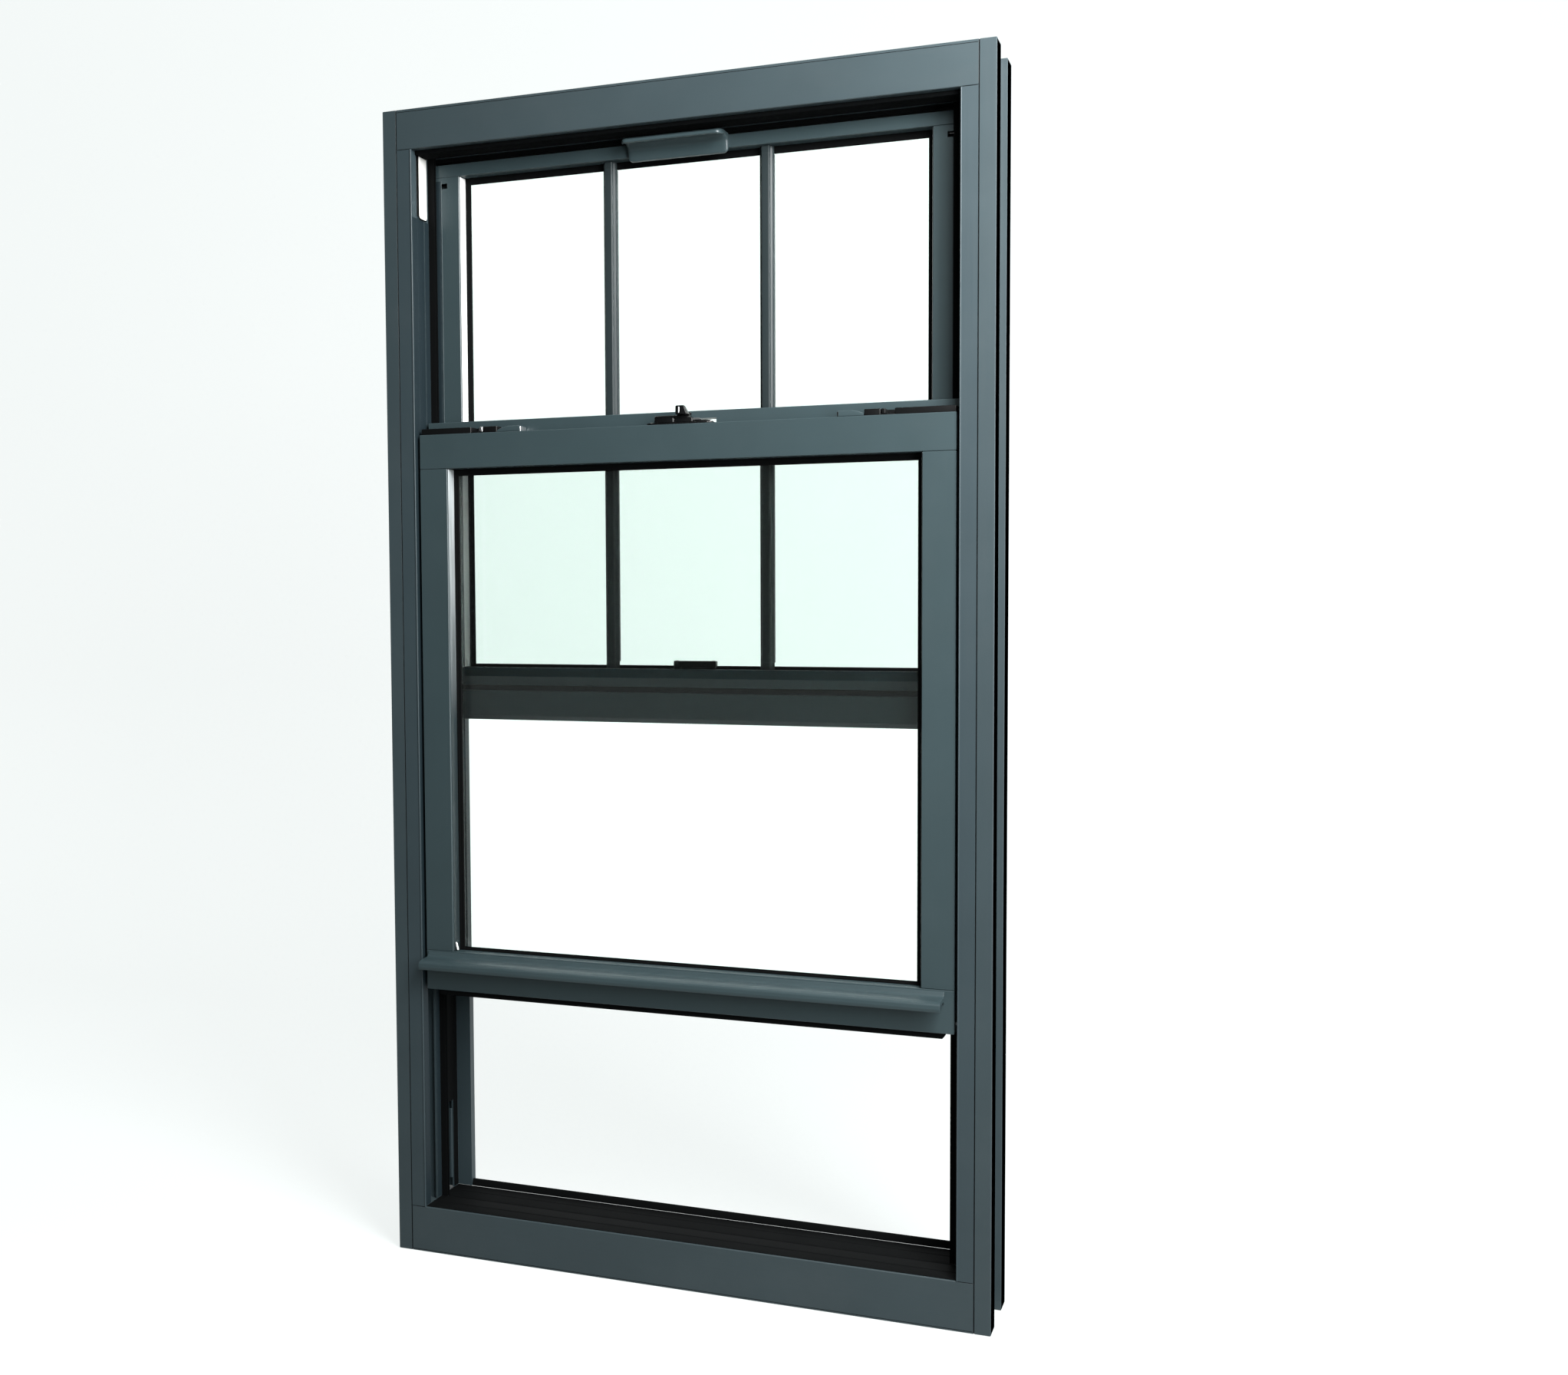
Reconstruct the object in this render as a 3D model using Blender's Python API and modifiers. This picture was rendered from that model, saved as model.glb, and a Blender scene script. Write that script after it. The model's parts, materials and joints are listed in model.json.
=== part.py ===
"""Double-hung sash window: an outer frame with two sashes that slide in side-by-side tracks.

X runs to the right as seen from the room, +Y towards the outdoors and +Z up. The origin is at the
middle of the width and of the whole depth, level with the frame's underside. Lengths are metres.
"""

from math import radians

import bmesh
import bpy
from mathutils import Matrix, Vector

# Driving sizes ------------------------------------------------------------------------------
FRAME_WIDTH = 0.6985
FRAME_HEIGHT = 1.308
JAMB_FACE = 0.0175  # full-height outer strip of each jamb
LINER_FACE = 0.0182  # face of the track liner beside it
HEAD_FACE = 0.0445
SILL_FACE = 0.053
FLANGE_DEPTH = 0.022  # front and rear flanges of the frame members
SIDE_RECESS = 0.009  # groove between the two flanges, for the fixings
WALL = 0.0024  # wall of the hollow extrusions
REAR_STOP = 0.0183  # how far the outdoor stop reaches past the liner's face
REAR_STOP_DEPTH = 0.0085
REAR_CLEARANCE = 0.0027  # between the outdoor sash and that stop

SASH_THICKNESS = 0.031
SASH_SETBACK = 0.0033  # lower sash behind the frame's front face
SASH_GAP = 0.0061  # between the two sashes' planes
SIDE_CLEARANCE = 0.0043  # between a sash and the liner
LOWER_STILE = 0.035
UPPER_STILE = 0.0332
CHECK_RAIL = 0.0387
CHECK_UPSTAND = 0.0155  # rear lip above the check rail's ledge
CHECK_LEDGE = 0.019  # depth of that ledge
LOWER_BOTTOM_RAIL = 0.0455
UPPER_TOP_RAIL = 0.014
UPPER_BOTTOM_RAIL = 0.0605
MEETING_OVERLAP = 0.0595  # how much taller the two sashes together are than the opening
LOWER_RAISE = 0.2565  # bottom rail above the sill, as the window stands
UPPER_DROP = 0.0085  # top rail below the head
BOTTOM_SEAL = 0.0075

LIP = 0.0125  # sash lip in front of the glass
REBATE = 0.009  # how deep the glass sits in the sash
PANE = 0.003
UNIT = 0.0122  # both panes and the space between them
GASKET = 0.0019
GASKET_SHOWS = 0.0075
SPACER_WIDTH = 0.010

CHANNEL_MOUTH = 0.015
CHANNEL_WIDTH = 0.0225
CHANNEL_LIP = 0.002
LINER_WALL = 0.0019  # behind each channel
PARTING_STOP = 0.0043
PARTING_STOP_SHOWS = 0.008
PARTING_STOP_ROOT = 0.003

SHOE_HEIGHT = 0.050
SHOE_BELOW_PIVOT = 0.012
CAM_RADIUS = 0.0065
PIVOT_BAR_LENGTH = 0.030  # inside the bottom rail
PIVOT_BAR_WIDTH = 0.010
PIVOT_BAR_THICKNESS = 0.003
PIVOT_HEIGHT = 0.009  # pivot above the sash's underside
COIL_HEIGHT = 0.070
COIL_INSET = 0.004  # housing behind the channel's lips
TAPE_WIDTH = 0.010
TAPE_THICKNESS = 0.0006

LATCH_LENGTH = 0.135
LATCH_THROW = 0.009
LATCH_HEIGHT = 0.0067
LATCH_FLOOR = 0.0012
BOLT_LENGTH = 0.088
BOLT_WIDTH = 0.006
BOLT_HEIGHT = 0.0036
THUMB_SLOT = 0.025
THUMB_LENGTH = 0.0045
THUMB_WIDTH = 0.0036
THUMB_RISE = 0.0025  # above the housing
UPPER_BOLT = 0.008  # side of the upper sash's square bolts
FINGER_SLOT = 0.012

LOCK_LEFT = 0.032  # ends of the lock's foot from the middle of the sash
LOCK_RIGHT = 0.0445
LOCK_FOOT = 0.003
LOCK_BODY_LEFT = 0.022
LOCK_BODY_RIGHT = 0.0205
LOCK_HEIGHT = 0.0095
LOCK_FLOOR = 0.0018
LOCK_AXIS = 0.011  # the spindle, right of the middle
SPINDLE_RADIUS = 0.004
HUB_RADIUS = 0.0075
HUB_HEIGHT = 0.0032
LEVER_LENGTH = 0.012
LEVER_RISE = 0.0095
CAM_REACH = 0.031
CAM_WIDTH = 0.009
CAM_THICKNESS = 0.004
KEEPER_LENGTH = 0.050
KEEPER_HEIGHT = 0.009
KEEPER_DEPTH = 0.006

HANDLE_LENGTH = 0.116
HANDLE_HEIGHT = 0.0235
HANDLE_REACH = 0.026
LIFT_REACH = 0.0233
LIFT_DROP = 0.0105
LIFT_INSET = 0.0032  # lift rail shorter than the sash at each end

MUNTIN_WIDTH = 0.016
MUNTIN_DEPTH = 0.0095
SCREW_RADIUS = 0.0042

GAP = 0.0003
EDGE = 0.0006  # small chamfer along every extruded edge

# Derived places -----------------------------------------------------------------------------
HALF_WIDTH = FRAME_WIDTH / 2
FRAME_DEPTH = SASH_SETBACK + 2 * SASH_THICKNESS + SASH_GAP + REAR_CLEARANCE + REAR_STOP_DEPTH
FRONT = (LIFT_REACH - SASH_SETBACK - FRAME_DEPTH) / 2  # the lift rail is the foremost piece
REAR = FRONT + FRAME_DEPTH
LINER_OUT = HALF_WIDTH - JAMB_FACE - GAP
LINER_IN = HALF_WIDTH - JAMB_FACE - LINER_FACE
SASH_HALF = LINER_IN - SIDE_CLEARANCE
SOFFIT = FRAME_HEIGHT - HEAD_FACE
LOWER_FRONT = FRONT + SASH_SETBACK
LOWER_BACK = LOWER_FRONT + SASH_THICKNESS
UPPER_FRONT = LOWER_BACK + SASH_GAP
UPPER_BACK = UPPER_FRONT + SASH_THICKNESS
SASH_HEIGHT = (SOFFIT - SILL_FACE + MEETING_OVERLAP) / 2
MUNTIN_PLACE = (SASH_HALF - UPPER_STILE) / 3  # the two bars part the glass in three
LOWER_BOTTOM = SILL_FACE + LOWER_RAISE
CHECK_TOP = LOWER_BOTTOM + SASH_HEIGHT
CHECK_BOTTOM = CHECK_TOP - CHECK_RAIL
UPPER_TOP = SOFFIT - UPPER_DROP
UPPER_BOTTOM = UPPER_TOP - SASH_HEIGHT
LOWER_TRACK = LOWER_FRONT + SASH_THICKNESS / 2
UPPER_TRACK = UPPER_FRONT + SASH_THICKNESS / 2
STOP_FRONT = (LOWER_BACK + UPPER_FRONT - PARTING_STOP) / 2 + GAP
CHANNEL_BACK = LINER_OUT - LINER_WALL
SHOE_IN = LINER_IN + CHANNEL_LIP + GAP
SHOE_OUT = CHANNEL_BACK - GAP
COIL_IN = LINER_IN + CHANNEL_LIP + COIL_INSET
COIL_LOW = SOFFIT - GAP - COIL_HEIGHT

# Helpers ------------------------------------------------------------------------------------


def clear_scene():
    for obj in list(bpy.data.objects):
        bpy.data.objects.remove(obj, do_unlink=True)


def collection(name, shown=True):
    made = bpy.data.collections.new(name)
    bpy.context.scene.collection.children.link(made)
    made.hide_render = not shown
    return made


def finish(name, colour, roughness, metallic=0.0):
    made = bpy.data.materials.new(name)
    made.use_nodes = True
    shader = made.node_tree.nodes["Principled BSDF"]
    shader.inputs["Base Color"].default_value = (*colour, 1.0)
    shader.inputs["Roughness"].default_value = roughness
    shader.inputs["Metallic"].default_value = metallic
    return made


def mesh_object(name, mesh, group, material=None, location=(0, 0, 0), rotation=(0, 0, 0)):
    """A mesh object in a collection, placed and coloured."""
    obj = bpy.data.objects.new(name, mesh)
    obj.location = location
    obj.rotation_euler = rotation
    if material:
        mesh.materials.append(material)
    group.objects.link(obj)
    return obj


AXIS_TURN = {
    "x": (radians(90), 0, radians(90)),  # outline drawn in (Y, Z), carried along X
    "y": (radians(90), 0, 0),  # outline drawn in (X, Z), carried along Y
    "z": (0, 0, 0),  # outline drawn in (X, Y), carried along Z
}
AXIS_INDEX = {"x": 0, "y": 1, "z": 2}


def prism(name, outlines, axis, low, high, group, material=None, edge=0.0):
    """An outline, with any holes after it, carried from low to high along an axis."""
    curve = bpy.data.curves.new(name, "CURVE")
    curve.dimensions = "2D"
    curve.fill_mode = "BOTH"
    curve.extrude = (high - low) / 2
    for outline in outlines:
        spline = curve.splines.new("POLY")
        spline.points.add(len(outline) - 1)
        for point, (u, v) in zip(spline.points, outline):
            point.co = (u, v, 0.0, 1.0)
        spline.use_cyclic_u = True
    drawn = bpy.data.objects.new(name + "_outline", curve)
    bpy.context.scene.collection.objects.link(drawn)
    graph = bpy.context.evaluated_depsgraph_get()
    mesh = bpy.data.meshes.new_from_object(drawn.evaluated_get(graph))
    bpy.data.objects.remove(drawn, do_unlink=True)
    shape = bmesh.new()
    shape.from_mesh(mesh)
    bmesh.ops.remove_doubles(shape, verts=shape.verts, dist=1e-6)
    bmesh.ops.recalc_face_normals(shape, faces=shape.faces)
    shape.to_mesh(mesh)
    shape.free()
    mesh.materials.clear()
    place = [0.0, 0.0, 0.0]
    place[AXIS_INDEX[axis]] = (low + high) / 2
    obj = mesh_object(name, mesh, group, material, place, AXIS_TURN[axis])
    if edge:
        soften(obj, edge)
    return obj


def soften(obj, width, segments=1):
    bevel = obj.modifiers.new("edges", "BEVEL")
    bevel.width = width
    bevel.segments = segments
    bevel.limit_method = "ANGLE"
    bevel.angle_limit = radians(35)
    bevel.use_clamp_overlap = True


def box(name, low, high, group, material=None, edge=0.0):
    """A block between two corners, with its origin at its middle."""
    low, high = Vector(low), Vector(high)
    shape = bmesh.new()
    bmesh.ops.create_cube(shape, size=1.0, matrix=Matrix.Diagonal((*(high - low), 1.0)))
    mesh = bpy.data.meshes.new(name)
    shape.to_mesh(mesh)
    shape.free()
    obj = mesh_object(name, mesh, group, material, (low + high) / 2)
    if edge:
        soften(obj, edge)
    return obj


def rod(name, radius, axis, low, high, centre, group, material=None, sides=24):
    """A round bar between low and high along an axis; centre gives its other two coordinates."""
    shape = bmesh.new()
    bmesh.ops.create_cone(
        shape, cap_ends=True, segments=sides, radius1=radius, radius2=radius, depth=high - low
    )
    mesh = bpy.data.meshes.new(name)
    shape.to_mesh(mesh)
    shape.free()
    mesh.shade_smooth()
    mesh.set_sharp_from_angle(angle=radians(40))
    turn = {"x": (0, radians(90), 0), "y": (radians(90), 0, 0), "z": (0, 0, 0)}[axis]
    place = list(centre)
    place.insert(AXIS_INDEX[axis], (low + high) / 2)
    return mesh_object(name, mesh, group, material, place, turn)


def boolean(obj, tool, operation):
    tool.hide_render = True
    tool.display_type = "WIRE"
    change = obj.modifiers.new(tool.name, "BOOLEAN")
    change.operation = operation
    change.object = tool
    change.solver = "EXACT"


def cut(obj, *tools):
    for tool in tools:
        boolean(obj, tool, "DIFFERENCE")


def join(obj, *tools):
    for tool in tools:
        boolean(obj, tool, "UNION")


def bodies(name, place, parent=None):
    """An empty on a moving body's joint axis."""
    empty = bpy.data.objects.new(name, None)
    empty.location = place
    bpy.context.scene.collection.objects.link(empty)
    if parent:
        attach(parent, empty)
    return empty


def attach(parent, *children):
    """Parents each child where it stands."""
    bpy.context.view_layer.update()
    for child in children:
        child.parent = parent
        child.matrix_parent_inverse = parent.matrix_world.inverted()


def sides():
    """The two sides of the window: a name and the sign of its X."""
    return (("left", -1), ("right", 1))


def ends(sign, near, far):
    """Two X coordinates on one side of the middle, in rising order."""
    return sorted((sign * near, sign * far))


def mirrored(outline, sign):
    return [(sign * u, v) for u, v in outline]


def rectangle(low, high):
    return [(low[0], low[1]), (high[0], low[1]), (high[0], high[1]), (low[0], high[1])]


# Frame --------------------------------------------------------------------------------------


def jamb_section():
    """Hollow jamb: two flanges with a groove between them on the wall side."""
    inner = HALF_WIDTH - JAMB_FACE
    groove = HALF_WIDTH - SIDE_RECESS
    outline = [
        (inner, FRONT),
        (HALF_WIDTH, FRONT),
        (HALF_WIDTH, FRONT + FLANGE_DEPTH),
        (groove, FRONT + FLANGE_DEPTH),
        (groove, REAR - FLANGE_DEPTH),
        (HALF_WIDTH, REAR - FLANGE_DEPTH),
        (HALF_WIDTH, REAR),
        (inner, REAR),
    ]
    chambers = [
        rectangle(
            (inner + WALL, FRONT + WALL), (HALF_WIDTH - WALL, FRONT + FLANGE_DEPTH - WALL)
        ),
        rectangle(
            (inner + WALL, REAR - FLANGE_DEPTH + WALL), (HALF_WIDTH - WALL, REAR - WALL)
        ),
    ]
    return [outline, *chambers]


def rail_section(outer, inner, slope=0.0):
    """Hollow head or sill: its outer edge is grooved like the jambs, its inner edge can slope."""
    sign = 1 if outer > inner else -1
    groove = outer - sign * SIDE_RECESS
    outline = [
        (FRONT, inner),
        (FRONT, outer),
        (FRONT + FLANGE_DEPTH, outer),
        (FRONT + FLANGE_DEPTH, groove),
        (REAR - FLANGE_DEPTH, groove),
        (REAR - FLANGE_DEPTH, outer),
        (REAR, outer),
        (REAR, inner + sign * slope),
        (UPPER_FRONT, inner),
    ]
    middle = (FRONT + REAR) / 2
    inner_side = inner + sign * (WALL + slope)
    chambers = [
        rectangle((FRONT + WALL, inner_side), (middle - WALL / 2, groove - sign * WALL)),
        rectangle((middle + WALL / 2, inner_side), (REAR - WALL, groove - sign * WALL)),
    ]
    return [outline, *chambers]


def liner_section():
    """Track liner: a shoe channel for each sash, a groove for the parting stop and a rear stop."""
    points = [(LINER_OUT, FRONT), (LINER_IN, FRONT)]
    for track in (LOWER_TRACK, UPPER_TRACK):
        mouth_low = track - CHANNEL_MOUTH / 2
        mouth_high = track + CHANNEL_MOUTH / 2
        wide_low = track - CHANNEL_WIDTH / 2
        wide_high = track + CHANNEL_WIDTH / 2
        lip = LINER_IN + CHANNEL_LIP
        points += [
            (LINER_IN, mouth_low),
            (lip, mouth_low),
            (lip, wide_low),
            (CHANNEL_BACK, wide_low),
            (CHANNEL_BACK, wide_high),
            (lip, wide_high),
            (lip, mouth_high),
            (LINER_IN, mouth_high),
        ]
        if track == LOWER_TRACK:
            root = LINER_IN + PARTING_STOP_ROOT + GAP
            points += [
                (LINER_IN, STOP_FRONT - GAP),
                (root, STOP_FRONT - GAP),
                (root, STOP_FRONT + PARTING_STOP - GAP),
                (LINER_IN, STOP_FRONT + PARTING_STOP - GAP),
            ]
    stop_front = REAR - REAR_STOP_DEPTH
    points += [
        (LINER_IN, stop_front),
        (LINER_IN - REAR_STOP, stop_front),
        (LINER_IN - REAR_STOP, REAR),
        (LINER_OUT, REAR),
    ]
    return points


def build_frame(group, cutters, finishes, root):
    """Jambs, head, sill, track liners, parting stops and the screws at the corners."""
    made = []
    inner = HALF_WIDTH - JAMB_FACE - GAP
    head = prism(
        "head", rail_section(FRAME_HEIGHT, SOFFIT), "x", -inner, inner, group, finishes["frame"], EDGE
    )
    sill = prism(
        "sill", rail_section(0.0, SILL_FACE, 0.005), "x", -inner, inner, group, finishes["frame"], EDGE
    )
    made += [head, sill]
    for side, sign in sides():
        jamb = prism(
            side + "_jamb",
            [mirrored(outline, sign) for outline in jamb_section()],
            "z", 0.0, FRAME_HEIGHT, group, finishes["frame"], EDGE,
        )
        liner = prism(
            side + "_track_liner",
            [mirrored(liner_section(), sign)],
            "z", SILL_FACE + GAP, SOFFIT - GAP, group, finishes["liner"],
        )
        low, high = ends(
            sign, LINER_IN - PARTING_STOP_SHOWS, LINER_IN + PARTING_STOP_ROOT
        )
        stop_back = STOP_FRONT + PARTING_STOP - 2 * GAP
        stop = box(
            side + "_parting_stop",
            (low, STOP_FRONT, SILL_FACE + 2 * GAP),
            (high, stop_back, SOFFIT - 2 * GAP),
            group, finishes["rubber"],
        )
        made += [jamb, liner, stop]
        for end, height in (("bottom", SILL_FACE / 2), ("top", FRAME_HEIGHT - HEAD_FACE / 2)):
            made.append(corner_screw(side, sign, end, height, jamb, group, cutters, finishes))
    attach(root, *made)


def corner_screw(side, sign, end, height, jamb, group, cutters, finishes):
    """A pan-head screw in the jamb's groove; its shank ends inside the jamb's web."""
    groove = HALF_WIDTH - SIDE_RECESS
    low, high = ends(sign, groove + GAP, groove + 0.0026)
    name = f"corner_screw_{side}_{end}"
    screw = rod(name, SCREW_RADIUS, "x", low, high, (0.0, height), group, finishes["steel"], 20)
    low, high = ends(sign, HALF_WIDTH - JAMB_FACE + 0.002, groove + 0.001)
    shank = rod(name + "_shank", SCREW_RADIUS / 2, "x", low, high, (0.0, height), cutters)
    join(screw, shank)
    low, high = ends(sign, HALF_WIDTH - JAMB_FACE - 0.01, groove + 0.01)
    hole = rod(name + "_hole", SCREW_RADIUS / 2 + GAP, "x", low, high, (0.0, height), cutters)
    cut(jamb, hole)
    return screw


# Sashes -------------------------------------------------------------------------------------


def sash_section(face):
    """(distance in from the sash's edge, depth behind its front) around one solid member."""
    seat = face - REBATE
    back_lip = LIP + GASKET + 2 * GAP + UNIT + GAP
    return [
        (0.0, 0.0),
        (face, 0.0),
        (face, LIP),
        (seat, LIP),
        (seat, back_lip),
        (face, back_lip),
        (face, SASH_THICKNESS),
        (0.0, SASH_THICKNESS),
    ]


def stile(name, sign, face, front, low, high, group, material):
    outline = [(sign * (SASH_HALF - u), front + v) for u, v in sash_section(face)]
    chamber = [
        (sign * (SASH_HALF - u), front + v)
        for u, v in rectangle((WALL, WALL), (face - REBATE - WALL, SASH_THICKNESS - WALL))
    ]
    return prism(name, [outline, chamber], "z", low + GAP, high - GAP, group, material, EDGE)


def glazing(prefix, face, front, low, high, group, finishes):
    """Two panes, the spacer between them and the black gasket that shows round the glass."""
    half = SASH_HALF - face
    reach = REBATE - GAP
    gasket_front = front + LIP + GAP
    glass_front = gasket_front + GASKET + GAP
    outer = rectangle((-half - reach, low - reach), (half + reach, high + reach))
    shows = rectangle(
        (-half + GASKET_SHOWS, low + GASKET_SHOWS), (half - GASKET_SHOWS, high - GASKET_SHOWS)
    )
    inset = reach - SPACER_WIDTH
    hollow = rectangle((-half - inset, low - inset), (half + inset, high + inset))
    gasket = prism(
        prefix + "_glazing_gasket", [outer, shows], "y",
        gasket_front, gasket_front + GASKET, group, finishes["rubber"],
    )
    near = prism(
        prefix + "_room_pane", [outer], "y",
        glass_front, glass_front + PANE, group, finishes["glass"],
    )
    far = prism(
        prefix + "_outer_pane", [outer], "y",
        glass_front + UNIT - PANE, glass_front + UNIT, group, finishes["glass"],
    )
    spacer = prism(
        prefix + "_glass_spacer", [outer, hollow], "y",
        glass_front + PANE + GAP, glass_front + UNIT - PANE - GAP, group, finishes["spacer"],
    )
    return [gasket, near, far, spacer]


def build_lower_sash(group, cutters, finishes, root):
    """The room-side sash on its two shoes, with lift rail, lock, latches and pivots."""
    pivot_z = LOWER_BOTTOM + PIVOT_HEIGHT
    carriage = bodies("lower_carriage", (0, LOWER_TRACK, pivot_z), root)
    sash = bodies("lower_sash", (0, LOWER_TRACK, pivot_z), carriage)
    made = []

    top = CHECK_TOP
    section = [(LOWER_FRONT + v, top - u) for u, v in sash_section(CHECK_RAIL)[:-1]]
    upstand = LOWER_FRONT + CHECK_LEDGE
    section += [(LOWER_BACK, top + CHECK_UPSTAND), (upstand, top + CHECK_UPSTAND), (upstand, top)]
    check = prism(
        "lower_check_rail", [section], "x", -SASH_HALF, SASH_HALF, group, finishes["sash"], EDGE
    )
    slot = box(
        "lock_cam_slot",
        (LOCK_AXIS - CAM_WIDTH, upstand - 0.001, top + LOCK_FLOOR / 2),
        (LOCK_AXIS + CAM_REACH + 0.002, LOWER_BACK + 0.01, top + LOCK_FLOOR + CAM_THICKNESS + 0.0016),
        cutters,
    )
    cut(check, slot)

    glass_low = LOWER_BOTTOM + LOWER_BOTTOM_RAIL
    chamfer = 0.004
    section = [(LOWER_FRONT + v, LOWER_BOTTOM + u) for u, v in sash_section(LOWER_BOTTOM_RAIL)[:-1]]
    section += [(LOWER_BACK, LOWER_BOTTOM + chamfer), (LOWER_BACK - chamfer, LOWER_BOTTOM)]
    bottom = prism(
        "lower_bottom_rail", [section], "x", -SASH_HALF, SASH_HALF, group, finishes["sash"], EDGE
    )
    made += [check, bottom]
    made += glazing("lower", LOWER_STILE, LOWER_FRONT, glass_low, CHECK_BOTTOM, group, finishes)
    made.append(lift_rail(glass_low, group, finishes))
    made.append(
        box(
            "lower_bottom_seal",
            (-SASH_HALF + 0.0125, LOWER_FRONT + 0.006, LOWER_BOTTOM - BOTTOM_SEAL),
            (SASH_HALF - 0.0125, LOWER_FRONT + 0.020, LOWER_BOTTOM - GAP),
            group, finishes["rubber"], 0.0015,
        )
    )
    for side, sign in sides():
        made.append(
            stile(
                f"lower_{side}_stile", sign, LOWER_STILE, LOWER_FRONT,
                glass_low, CHECK_BOTTOM, group, finishes["sash"],
            )
        )
        pivot = pivot_bar(f"lower_{side}_pivot_bar", sign, LOWER_TRACK, pivot_z, group, cutters, finishes)
        cut(bottom, pivot_pocket(f"lower_{side}", sign, LOWER_TRACK, pivot_z, cutters))
        made.append(pivot)
        shoe = balance_shoe(
            f"lower_{side}_balance_shoe", sign, LOWER_TRACK, pivot_z, group, cutters, finishes
        )
        attach(carriage, shoe)
        made += tilt_latch(side, sign, sash, group, cutters, finishes)
        balance(f"lower_{side}", sign, LOWER_TRACK, pivot_z, group, cutters, finishes, root)
    made.append(sash_lock(sash, group, cutters, finishes))
    attach(sash, *made)


def lift_rail(glass_low, group, finishes):
    """Shelf-like finger rail along the bottom rail, with a drooping rounded nose."""
    back = LOWER_FRONT - GAP
    nose = LOWER_FRONT - LIFT_REACH
    top = glass_low - 0.0005
    section = [
        (back, top),
        (back - 0.004, top - 0.0018),
        (nose + 0.005, top - 0.0062),
        (nose + 0.0015, top - 0.008),
        (nose, top - 0.0105),
        (nose, top - 0.014),
        (nose + 0.0015, top - 0.0165),
        (nose + 0.004, top - 0.017),
        (nose + 0.006, top - 0.0145),
        (nose + 0.007, top - 0.0125),
        (back - 0.004, top - LIFT_DROP),
        (back, top - LIFT_DROP - 0.004),
    ]
    half = SASH_HALF - LIFT_INSET
    return prism("lift_rail", [section], "x", -half, half, group, finishes["sash"])


def pivot_bar(name, sign, track, height, group, cutters, finishes):
    """Flat bar out of the bottom rail's end, ending in the round cam that turns in the shoe."""
    low, high = ends(sign, SHOE_IN + 0.0005, SHOE_OUT - 0.002)
    cam = rod(name, CAM_RADIUS, "x", low, high, (track, height), group, finishes["steel"])
    low, high = ends(sign, SASH_HALF - PIVOT_BAR_LENGTH, SHOE_IN + 0.004)
    bar = box(
        name + "_flat",
        (low, track - PIVOT_BAR_WIDTH / 2, height - PIVOT_BAR_THICKNESS / 2),
        (high, track + PIVOT_BAR_WIDTH / 2, height + PIVOT_BAR_THICKNESS / 2),
        cutters,
    )
    join(cam, bar)
    return cam


def pivot_pocket(name, sign, track, height, cutters):
    """The pocket in the end of a bottom rail that the pivot bar sits in."""
    low, high = ends(sign, SASH_HALF - PIVOT_BAR_LENGTH - GAP, SASH_HALF + 0.01)
    half_width = PIVOT_BAR_WIDTH / 2 + GAP
    half_thickness = PIVOT_BAR_THICKNESS / 2 + GAP
    return box(
        name + "_pivot_pocket",
        (low, track - half_width, height - half_thickness),
        (high, track + half_width, height + half_thickness),
        cutters,
    )


def balance_shoe(name, sign, track, pivot, group, cutters, finishes):
    """Block that slides in the liner's channel, bored for the pivot cam."""
    low, high = ends(sign, SHOE_IN, SHOE_OUT)
    half = CHANNEL_WIDTH / 2 - GAP
    shoe = box(
        name,
        (low, track - half, pivot - SHOE_BELOW_PIVOT),
        (high, track + half, pivot - SHOE_BELOW_PIVOT + SHOE_HEIGHT),
        group, finishes["nylon"], 0.001,
    )
    low, high = ends(sign, SHOE_IN - 0.005, SHOE_OUT + 0.005)
    bore = rod(name + "_bore", CAM_RADIUS + GAP, "x", low, high, (track, pivot), cutters)
    cut(shoe, bore)
    return shoe


def balance(prefix, sign, track, pivot, group, cutters, finishes, root):
    """Constant-force balance: a coil housing at the channel's top and its tape to the shoe."""
    half = CHANNEL_WIDTH / 2 - GAP
    low, high = ends(sign, COIL_IN, CHANNEL_BACK - GAP)
    housing = box(
        prefix + "_coil_housing",
        (low, track - half, COIL_LOW),
        (high, track + half, SOFFIT - 2 * GAP),
        group, finishes["nylon"], 0.001,
    )
    centre = (COIL_IN + CHANNEL_BACK) / 2
    low, high = ends(sign, centre - TAPE_THICKNESS / 2, centre + TAPE_THICKNESS / 2)
    tape = box(
        prefix + "_balance_tape",
        (low, track - TAPE_WIDTH / 2, pivot - SHOE_BELOW_PIVOT + SHOE_HEIGHT + GAP),
        (high, track + TAPE_WIDTH / 2, COIL_LOW - GAP),
        group, finishes["steel"],
    )
    attach(root, housing, tape)


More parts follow.
